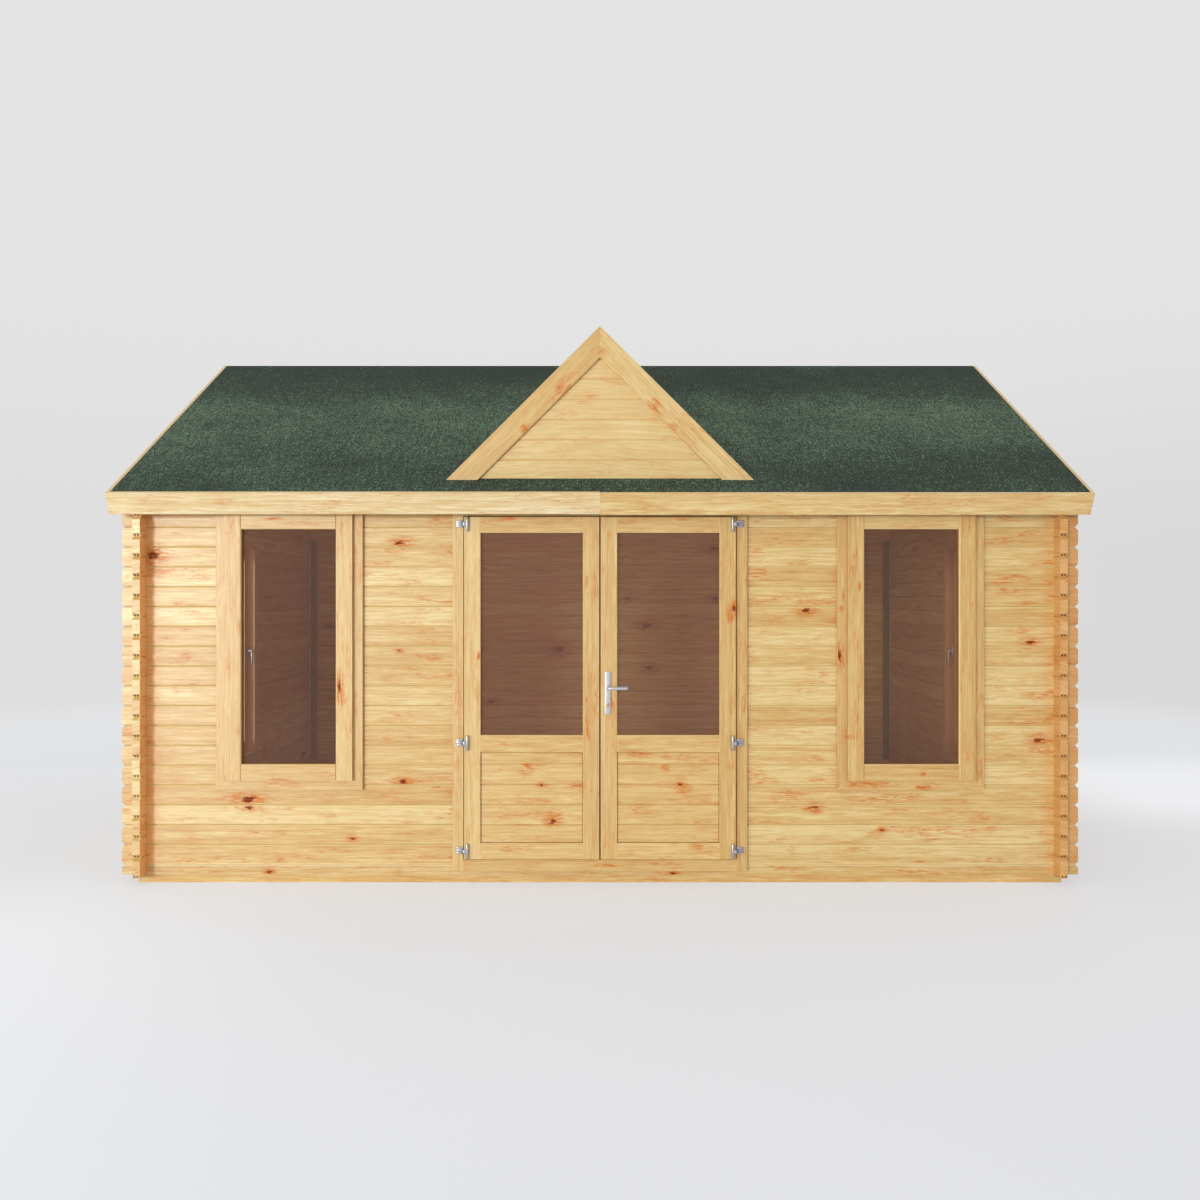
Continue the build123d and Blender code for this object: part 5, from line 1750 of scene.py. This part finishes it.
@dataclass
class DoorHandle:
    """Lever handles, long backplates and lock of the right-hand leaf."""

    crumb: float = 0.0001
    corner: float = 0.0115
    edge: float = 0.0022
    hub: Outline = (
        (0.0, 0.0), (0.010, 0.0), (0.010, 0.0085), (0.0096, 0.0095), (0.0084, 0.010), (0.0078, 0.012),
        (0.0078, 0.044), (0.0, 0.044),
    )
    hub_radius: float = 0.010
    hub_lift: float = 0.0009
    grip: float = 0.0088
    grip_flat: float = 0.86
    grip_out: float = 0.052
    grip_end: float = 0.115
    grip_tip: Outline = ((0.004, 1.0), (0.0015, 0.90), (0.0003, 0.62))
    grip_sides: int = 20
    bend: float = 0.016
    bend_steps: int = 6
    spindle: float = 0.0032
    spindle_edge: float = 0.0006
    sunk: float = 0.002
    key: float = 0.0083
    chamfer: float = 0.0008
    web: Span = (0.005, 0.0004)
    web_edge: float = 0.0016
    plug: Outline = ((0.0, 0.0), (0.0062, 0.0), (0.0062, 0.0006), (0.0055, 0.0010), (0.0, 0.0010))
    slot_depth: Span = (0.0002, 0.0014)
    slot: Triple = (0.0009, -0.0042, 0.0036)
    slot_edge: float = 0.0003
    latch: Sequence[float] = (-0.0012, 0.010, -0.030, 0.002, 0.030, 0.010)
    tongue: Sequence[float] = (-0.0028, 0.013, -0.006, 0.001, 0.026, 0.009)
    strike: Sequence[float] = (-0.002, 0.008, -0.120, 0.0010, 0.030, 0.040)
    latch_edge: float = 0.0004
    tongue_edge: float = 0.0010

    @staticmethod
    def fitting(foot: Vector, span: Sequence[float], edge: float, segments: int) -> Shape:
        """Build a block between two corners, which are measured from a foot point."""
        return block(foot + Vector(span[:3]), foot + Vector(span[3:]), edge, segments)

    def plate(self, low: Vector, high: Vector, outwards: int) -> Shape:
        """Build one backplate with round corners and a soft rim.

        Args:
            low: Lowest corner of the CAD plate.
            high: Highest corner.
            outwards: -1 for the outside face and 1 for the inside one.

        Returns:
            The shape.
        """
        shape = block(low, high, self.crumb, 1)
        bmesh.ops.remove_doubles(shape, verts=shape.verts, dist=4 * self.crumb)
        tall = []
        for edge in shape.edges:
            first, second = edge.verts
            if abs((first.co - second.co).normalized().y) > 0.9:
                tall.append(edge)
        round_off(shape, tall, self.corner, 6)
        front = low.y if outwards < 0 else high.y
        near = 2 * self.crumb
        rim = [edge for edge in shape.edges if max(abs(end.co.y - front) for end in edge.verts) < near]
        round_off(shape, rim, self.edge, 3)
        return shape

    def lever(self, centre: Vector, outwards: int, face: float) -> list[Shape]:
        """Build one lever: a collared hub, a bend and a long round grip with a domed end.

        Args:
            centre: Where the spindle axis meets the door.
            outwards: -1 for the outside and 1 for the inside.
            face: Y of the leaf's face on that side.

        Returns:
            The shapes.
        """
        hub = facing_y(lathe(self.hub, 32), centre.x, face + outwards * self.hub_lift, centre.z, outwards)
        depth = face + outwards * self.grip_out
        stations = []
        for step in range(self.bend_steps + 1):
            angle = math.radians(90 * step / self.bend_steps)
            x = centre.x + self.bend * (1 - math.cos(angle))
            stations.append((x, depth - outwards * self.bend * (1 - math.sin(angle)), angle, 1.0))
        for before_end, share in self.grip_tip:
            stations.append((centre.x + self.grip_end - before_end, depth, math.radians(90), share))
        shape = bmesh.new()
        sides = self.grip_sides
        rings = []
        for x, y, angle, share in stations:
            heading = Vector((math.sin(angle), outwards * math.cos(angle), 0.0))
            sideways = UP.cross(heading) * self.grip_flat
            ring = []
            for side in range(sides):
                spin = math.tau * side / sides
                spoke = (UP * math.cos(spin) + sideways * math.sin(spin)) * self.grip
                ring.append(shape.verts.new(Vector((x, y, centre.z)) + spoke * share))
            rings.append(ring)
        for first, second in zip(rings, rings[1:]):
            for side in range(sides):
                after = (side + 1) % sides
                shape.faces.new((first[side], first[after], second[after], second[side]))
        shape.faces.new(rings[0])
        shape.faces.new(rings[-1])
        bmesh.ops.recalc_face_normals(shape, faces=shape.faces)
        return [hub, shape]

    def lock(self, brass: Material, dark: Material) -> None:
        """Build the lock cylinder.

        Args:
            brass: Its material.
            dark: Material inside the keyway.
        """
        low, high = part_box("lock_cylinder")
        x = (low.x + high.x) / 2
        top = high.z - self.key
        length = high.y - low.y
        narrow = self.key - self.chamfer
        profile = [
            (0.0, 0.0), (narrow, 0.0), (self.key, self.chamfer), (self.key, length - self.chamfer),
            (narrow, length), (0.0, length),
        ]
        half, inset = self.web
        web = block((x - half, low.y + inset, low.z), (x + half, high.y - inset, top), self.web_edge, 3)
        shapes = [facing_y(lathe(profile, 32), x, high.y, top, -1), web]
        slots = []
        for face, outwards in ((low.y, -1), (high.y, 1)):
            shapes.append(facing_y(lathe(self.plug, 28), x, face, top, outwards))
            front, back = sorted(face + outwards * depth for depth in self.slot_depth)
            half, bottom, rise = self.slot
            first = (x - half, front, top + bottom)
            slots.append(block(first, (x + half, back, top + rise), self.slot_edge, 1))
        settle(gather("lock_barrel", shapes), brass, "door_right", ["lock_cylinder"])
        settle(gather("keyway", slots), dark, "door_right")

    def build(self, steel: Material, brass: Material, dark: Material) -> None:
        """Build plates, levers, lock cylinder, latch and strike.

        Args:
            steel: Material of plates and levers.
            brass: Material of the lock and the latch.
            dark: Material inside the keyway.
        """
        outside, inside = sorted(solid_boxes("handle_plates"), key=lambda box: box[0].y)
        shapes = [self.plate(*outside, -1), self.plate(*inside, 1)]
        settle(gather("handle_backplates", shapes), steel, "door_right", ["handle_plates"])
        outer, inner = outside[1].y, inside[0].y
        low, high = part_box("door_lever")
        centre = Vector((low.x + self.hub_radius, 0.0, (low.z + high.z) / 2))
        half = self.spindle
        shapes = self.lever(centre, -1, outer) + self.lever(centre, 1, inner)
        first = (centre.x - half, outer - self.sunk, centre.z - half)
        shapes.append(block(first, (centre.x + half, inner + self.sunk, centre.z + half), self.spindle_edge))
        settle(gather("lever_handles", shapes), steel, "lever", ["door_lever"])
        self.lock(brass, dark)

        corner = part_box("door_leaf_right")[0]
        foot = Vector((corner.x, corner.y, centre.z))
        latch = self.fitting(foot, self.latch, self.latch_edge, 1)
        tongue = self.fitting(foot, self.tongue, self.tongue_edge, 2)
        settle(gather("latch_set", [latch, tongue]), brass, "door_right")
        foot.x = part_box("door_leaf_left")[1].x
        strike = self.fitting(foot, self.strike, self.latch_edge, 1)
        settle(gather("strike_strip", [strike]), steel, "door_left")


@dataclass
class MeetingGapShade:
    """Dark strip in the gap between the leaves, fixed to the left-hand one: painted shade that darkens the
    gap.
    """

    sunk: float = 0.001
    reach: float = 0.0066
    front: float = 0.007
    deep: float = 0.026
    ends: float = 0.004
    edge: float = 0.0012

    def build(self, dark: Material) -> None:
        """Build the strip.

        Args:
            dark: Its material.
        """
        low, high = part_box("door_leaf_left")
        near = (high.x - self.sunk, low.y + self.front, low.z + self.ends)
        far = (high.x + self.reach, low.y + self.deep, high.z - self.ends)
        settle(gather("meeting_seal", [block(near, far, self.edge)]), dark, "door_left")


@dataclass
class WindowCatches:
    """Turn handles on the insides of the four sashes."""

    drop: float = 0.035
    plate: float = 0.014
    plate_thick: float = 0.010
    neck: float = 0.008
    neck_start: float = 0.006
    neck_end: float = 0.002
    grip: float = 0.0098
    grip_thick: float = 0.012
    grip_over: float = 0.010
    edge: float = 0.004
    grip_edge: float = 0.0045

    def build(self, steel: Material) -> None:
        """Build the four handles.

        Args:
            steel: Their material.
        """
        shapes = []
        for low, high in solid_boxes("window_catches"):
            size = high - low
            middle = (low + high) / 2
            deep = 1 if size.y > size.x else 0
            wide = 1 - deep
            inwards = -1 if middle[deep] > 0 else 1
            back = low[deep] if inwards > 0 else high[deep]
            reach = size[deep]
            pivot = high.z - self.drop
            rise, neck = self.drop, self.neck
            for near, far, half, bottom, top, edge in (
                (0.0, self.plate_thick, self.plate, pivot - rise, pivot + rise, self.edge),
                (self.neck_start, reach - self.neck_end, neck, pivot - neck, pivot + neck, self.edge),
                (reach - self.grip_thick, reach, self.grip, low.z, pivot + self.grip_over, self.grip_edge),
            ):
                first, second = [0.0, 0.0, bottom], [0.0, 0.0, top]
                first[deep], second[deep] = sorted((back + inwards * near, back + inwards * far))
                first[wide], second[wide] = middle[wide] - half, middle[wide] + half
                shapes.append(block(first, second, edge, 3))
        settle(gather("sash_handles", shapes), steel, "cabin", ["window_catches"])


@dataclass
class Studio:
    """Camera, lamps, world and floor."""

    lens: float = 35.0
    sensor: float = 36.0
    eye: Triple = (0.0, -8.603, 1.644)
    shift: float = -0.00325
    paper: Colour = linear(227, 227, 227)
    horizon: Colour = linear(222, 222, 222)
    horizon_right: Colour = linear(217, 217, 217)
    floor_tone: Colour = linear(236, 240, 248)
    floor_glow: Colour = linear(252, 253, 255)
    floor_share: float = 0.445
    # Strength of the painted pools of light on the floor, on the left and on the right.
    left_light_pool: float = 0.20
    right_light_pool: float = 0.28
    floor_radius: float = 60.0
    fill_power: float = 0.66
    fill_colour: Colour = (1.0, 0.985, 0.96)
    sun_power: float = 1.05
    sun_size: float = 9.0
    sun_turn: float = 26.0
    sun_rise: float = 5.0
    sun_colour: Colour = (1.0, 0.98, 0.95)
    box_power: float = 225.0
    box_colour: Colour = (0.90, 1.0, 1.03)
    box_place: Triple = (-7.0, -8.8, 1.5)
    box_size: Span = (5.0, 3.0)
    room_power: float = 16.0
    room_colour: Colour = (0.98, 0.84, 0.76)
    room_size: Span = (4.4, 0.2)
    room_place: Triple = (0.0, -1.70, 2.20)
    room_dip: float = 75.0
    sun_away: float = 9.0
    world_turn: Span = (0.1, 0.5)
    world_rise: Span = (0.02, 0.24)
    floor_turn: Span = (2.0, 9.0)
    floor_tint: Span = (4.0, 14.0)
    floor_fade: Span = (5.0, 14.0)
    # Where the painted pools of light lie on the floor.
    left_aside: Span = (-3.2, -0.8)
    left_depth: Span = (-3.4, -1.2)
    right_aside: Span = (2.8, 4.8)
    right_near: Span = (-1.0, 0.9)
    right_far: Span = (1.8, 4.2)
    box_aim: Triple = (-1.2, -1.9, 1.3)

    def camera(self) -> None:
        """Make the camera, level and square to the front."""
        data = bpy.data.cameras.new("camera")
        data.lens, data.sensor_width, data.shift_y = self.lens, self.sensor, self.shift
        data.dof.use_dof = False
        item = link(bpy.data.objects.new("camera", data))
        item.location = self.eye
        item.rotation_euler = (math.radians(90), 0.0, 0.0)
        bpy.context.scene.camera = item

    def lamp(self, name: str, power: float, colour: Colour, place: Sequence[float], aim: Vector,
             size: Span | None = None) -> bpy.types.Object:
        """Add one lamp.

        Args:
            name: Its name.
            power: Its strength.
            colour: Its colour.
            place: Where it stands.
            aim: Which way it shines.
            size: Width and height of a rectangular lamp; without it the lamp is a sun.

        Returns:
            The lamp.
        """
        data = bpy.data.lights.new(name, "AREA" if size else "SUN")
        data.energy, data.color = power, colour
        if size:
            data.shape = "RECTANGLE"
            data.size, data.size_y = size
        item = link(bpy.data.objects.new(name, data))
        item.location = place
        item.rotation_euler = aim.to_track_quat("-Z", "Y").to_euler()
        return item

    def sun(self) -> None:
        """Add the distant key lamp, low on the front left."""
        turn, rise = math.radians(self.sun_turn), math.radians(self.sun_rise)
        towards = Vector((math.sin(turn) * math.cos(rise), math.cos(turn) * math.cos(rise), -math.sin(rise)))
        item = self.lamp("key_lamp", self.sun_power, self.sun_colour, -self.sun_away * towards, towards)
        item.data.angle = math.radians(self.sun_size)

    def soft_box(self) -> None:
        """Add the wide lamp on the left, whose sheen pales the wood on that side."""
        aim = Vector(self.box_aim) - Vector(self.box_place)
        self.lamp("soft_box", self.box_power, self.box_colour, self.box_place, aim, self.box_size)

    def room_lamp(self) -> None:
        """Add a weak warm strip lamp over the doors inside, so that the room shows through the glass."""
        dip = math.radians(self.room_dip)
        aim = Vector((0.0, math.sin(dip), -math.cos(dip)))
        item = self.lamp("room_lamp", self.room_power, self.room_colour, self.room_place, aim, self.room_size)
        item.visible_glossy = item.visible_camera = False

    def seen(self, graph: Graph) -> Socket:
        """Tell the rays that show the backdrop from those that light the cabin.

        Args:
            graph: Graph of the world or of the floor.

        Returns:
            A socket that is 1 where the backdrop shows.
        """
        ray = graph.node("ShaderNodeLightPath").outputs
        mirrored = graph.higher(ray["Is Glossy Ray"], ray["Is Transmission Ray"])
        return graph.higher(ray["Is Camera Ray"], mirrored)

    def world(self) -> None:
        """Make a pale world that lights softly and shows as the backdrop."""
        world = bpy.data.worlds.new("studio")
        world.use_nodes = True
        graph = Graph(world.node_tree)
        graph.tree.nodes.clear()
        x, _, z = graph.split(graph.node("ShaderNodeTexCoord").outputs["Generated"])
        low = graph.mix(graph.ease(x, *self.world_turn), self.horizon, self.horizon_right)
        paper = graph.mix(graph.ease(z, *self.world_rise), low, self.paper)
        fill = graph.node("ShaderNodeBackground", {"Color": self.fill_colour, "Strength": self.fill_power})
        shown = graph.node("ShaderNodeBackground", {"Color": paper, "Strength": 1.0})
        inputs = {0: self.seen(graph), 1: fill.outputs[0], 2: shown.outputs[0]}
        mixed = graph.node("ShaderNodeMixShader", inputs)
        graph.node("ShaderNodeOutputWorld", {"Surface": mixed.outputs[0]})
        bpy.context.scene.world = world

    def floor(self) -> None:
        """Lay a wide pale floor with painted pools of light, fading into the backdrop far out."""
        shape = bmesh.new()
        bmesh.ops.create_circle(shape, cap_ends=True, segments=96, radius=self.floor_radius)
        mesh = bpy.data.meshes.new("studio_floor")
        shape.to_mesh(mesh)
        shape.free()
        material, graph, shader = new_material("studio_floor")
        x, y, _ = graph.split(graph.place())
        away = graph.math("SQRT", graph.line(x, x, graph.times(y, y)))
        mottle = graph.noise(graph.combine(x, y, 0.0), (0.5, 0.5, 0.5), 2.0)
        shade = shaded(self.floor_tone, 0.97)
        graph.paint(shader, graph.mix(graph.ease(mottle, 0.3, 0.7), self.floor_tone, shade))
        shader.inputs["Roughness"].default_value = 0.7
        aside = graph.mix(graph.ease(x, *self.floor_turn), self.horizon, self.horizon_right)
        glow_colour = graph.mix(graph.ease(away, *self.floor_tint), self.floor_glow, aside)
        glow = graph.node("ShaderNodeEmission", {"Color": glow_colour, "Strength": 1.0})
        # Painted pools of light on the left and the right of the floor.
        left = graph.ease(x, *self.left_aside, 1.0, 0.0)
        left = graph.times(left, graph.ease(y, *self.left_depth, self.left_light_pool, 0.0))
        right = graph.ease(x, *self.right_aside)
        right = graph.times(right, graph.ease(y, *self.right_near, 0.0, self.right_light_pool))
        right = graph.times(right, graph.ease(y, *self.right_far, 1.0, 0.0))
        glow_and_pools = graph.plus(graph.plus(left, right), graph.ease(away, *self.floor_fade, self.floor_share, 1.0))
        share = graph.times(self.seen(graph), graph.math("MINIMUM", glow_and_pools, 1.0))
        mixed = graph.node("ShaderNodeMixShader", {0: share, 1: shader.outputs[0], 2: glow.outputs[0]})
        output = next(node for node in graph.tree.nodes if node.type == "OUTPUT_MATERIAL")
        graph.feed(output.inputs["Surface"], mixed.outputs[0])
        mesh.materials.append(material)
        link(bpy.data.objects.new("studio_floor", mesh))

    def build(self) -> None:
        """Set up the whole studio."""
        bpy.context.scene.view_settings.view_transform = "Standard"
        self.camera()
        self.world()
        self.floor()
        self.sun()
        self.soft_box()
        self.room_lamp()


@dataclass(frozen=True)
class Marks:
    """Knots and patches of resin on the joinery and the trim, as (x, z, half width, half height)."""

    knots: Sequence[Spot] = (
        (0.765, 1.572, 0.010, 0.020), (-0.333, 0.563, 0.012, 0.007), (-0.268, 0.358, 0.020, 0.013),
        (0.455, 0.569, 0.011, 0.006), (-1.488, 1.128, 0.009, 0.034), (1.371, 1.310, 0.009, 0.030),
    )
    flares: Sequence[Spot] = (
        (-0.535, 2.085, 0.075, 0.016), (0.463, 2.085, 0.060, 0.012), (-0.071, 0.935, 0.014, 0.110),
        (-0.080, 1.728, 0.009, 0.034), (0.050, 1.982, 0.012, 0.022), (0.063, 1.037, 0.013, 0.032),
        (0.745, 1.540, 0.030, 0.060), (0.826, 1.034, 0.010, 0.050), (-0.268, 0.372, 0.055, 0.034),
        (-0.419, 0.650, 0.040, 0.036), (-0.134, 0.555, 0.045, 0.026), (0.214, 0.742, 0.085, 0.018),
        (0.480, 0.540, 0.050, 0.030), (0.375, 0.662, 0.035, 0.020), (0.571, 0.215, 0.060, 0.018),
        (0.035, 0.100, 0.070, 0.010), (-2.055, 1.465, 0.014, 0.045), (-1.480, 1.060, 0.030, 0.050),
        (-1.827, 0.600, 0.060, 0.010), (-1.867, 2.087, 0.070, 0.010), (1.385, 1.573, 0.016, 0.022),
        (1.395, 1.648, 0.010, 0.040), (1.535, 0.565, 0.150, 0.020), (1.844, 0.629, 0.016, 0.018),
        (1.484, 1.694, 0.010, 0.030), (1.427, 0.837, 0.028, 0.015), (-0.690, 1.300, 0.016, 0.030),
        (-0.530, 0.200, 0.040, 0.014),
    )
    trim_flares: Sequence[Spot] = (
        (-0.200, 2.834, 0.045, 0.050), (0.313, 2.721, 0.050, 0.055), (0.420, 2.610, 0.030, 0.030),
        (-0.430, 2.600, 0.030, 0.030), (0.020, 3.050, 0.025, 0.030),
    )


@dataclass
class CornerShadowStrips:
    """Dark upright strips in the two back corners inside: painted shade where the corners fall dark."""

    near: float = 2.534
    far: float = 2.590
    thick: float = 0.010
    bottom: float = 0.180
    top: float = 2.140
    # Dark olive pine, the colour of the painted corner shade.
    pine: PineFinish = PineFinish(
        "corner_pine", pale=linear(110, 116, 70), straw=linear(96, 102, 60), honey=linear(84, 90, 52),
        resin=linear(90, 70, 50), knots=0.0, blush=0.1, flank_shading=linear(60, 56, 46),
    )

    def build(self) -> None:
        """Build both strips on the inner face of the back wall."""
        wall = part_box("back_wall")[0].y
        boards = Joinery("corner_battens", 0.66)
        for turn in (-1, 1):
            start = Vector((turn * (self.near + self.far) / 2, wall, self.bottom))
            section = plank(self.far - self.near, -self.thick)[::-1]
            boards.add(Board(start, UP, RIGHT, self.top - self.bottom, section))
        boards.finish(self.pine.on_boards(), "cabin", "trim_pine")


def build_windows(front: float, joinery: PineFinish, front_pine: Material) -> None:
    """Build the four windows.

    Args:
        front: Y of the front wall's outer face.
        joinery: Finish that the side windows' ones are made from.
        front_pine: Material of the front windows.
    """
    plain = replace(joinery, spots=(), flares=())
    # The side windows' painted flank shading: light on the left window's board sides, shade on the right's.
    left_pine = replace(plain, name="side_left_pine", flank_shading=linear(255, 204, 138)).on_boards()
    right_pine = replace(plain, name="side_right_pine", flank_shading=linear(204, 138, 84)).on_boards()
    for name, right, out, seed, pine in (
        ("front_left", RIGHT, -BACKWARD, 0.55, front_pine),
        ("front_right", RIGHT, -BACKWARD, 0.22, front_pine),
        ("side_left", -BACKWARD, -RIGHT, 0.53, left_pine),
        ("side_right", BACKWARD, RIGHT, 0.83, right_pine),
    ):
        place, side = name.split("_")
        low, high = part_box(f"{place}_window_sash_{side}")
        centre = (low + high) / 2
        if place == "front":
            centre.y = front
        else:
            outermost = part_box(f"{place}_window_frame_{side}")[1 if centre.x > 0 else 0].x
            centre.x = outermost - math.copysign(Window.casing_thick, outermost)
        Window(name, Face(centre, right, out), seed).build(pine)


def main() -> None:
    """Build and dress every part of the cabin, in order."""
    logging.basicConfig(level=logging.INFO, format="%(name)s: %(message)s")
    marks = Marks()
    joinery = PineFinish(
        "joinery_pine", pale=linear(226, 197, 136), straw=linear(209, 170, 101), honey=linear(190, 138, 68),
        knots=0.05, blush=0.65, figure=0.75, spots=marks.knots, flares=marks.flares,
    )
    joinery_pine = joinery.on_boards()
    trim = PineFinish("trim_pine", knots=0.14, blush=0.6, figure=0.7, flank_shading=linear(226, 190, 130))
    trim_pine = replace(trim, flares=marks.trim_flares).on_boards()
    lining = PineFinish("roof_pine", knots=0.3, blush=0.3, roughness=0.6, flank_shading=linear(190, 138, 78))
    roof_pine = lining.on_boards()
    felt = FeltFinish().material()
    gable = FrontGable()
    LogWalls().dress()
    Roof().build(trim_pine, roof_pine, felt)
    gable.build(trim_pine, roof_pine, felt)

    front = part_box("front_wall_left")[0].y
    build_windows(front, joinery, joinery_pine)
    DoorFrame().build(front, joinery_pine)
    DoorLeaf("left", -1, 0.11, 0.40).build(joinery_pine)
    DoorLeaf("right", 1, 0.13, 0.17).build(joinery_pine)
    dress(["door_glass_left", "door_glass_right"], GlassFinish().material())
    panes = [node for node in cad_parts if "window_glass" in node]
    dress(panes, GlassFinish("window_glass", linear(122, 91, 82), 0.23).material())
    steel = MetalFinish("satin_steel", linear(214, 214, 219)).material()
    brass = MetalFinish("brass", linear(214, 170, 84), 0.3).material()
    Hinges().build(MetalFinish("zinc_steel", linear(184, 184, 191), 0.36).material())
    DoorHandle().build(steel, brass, ShadeFinish("keyway_shade", linear(40, 30, 20)).material())
    CornerShadowStrips().build()
    MeetingGapShade().build(ShadeFinish().material())
    WindowCatches().build(steel)
    floor_pine = PineFinish("floor_pine", knots=0.3, roughness=0.65, flank_shading=linear(206, 162, 104))
    Floor().build(floor_pine.on_boards())
    gable.clad(replace(trim, name="cladding_pine", knots=0.10, figure=0.45).on_boards())
    Studio().build()


if __name__ == "__main__":
    main()
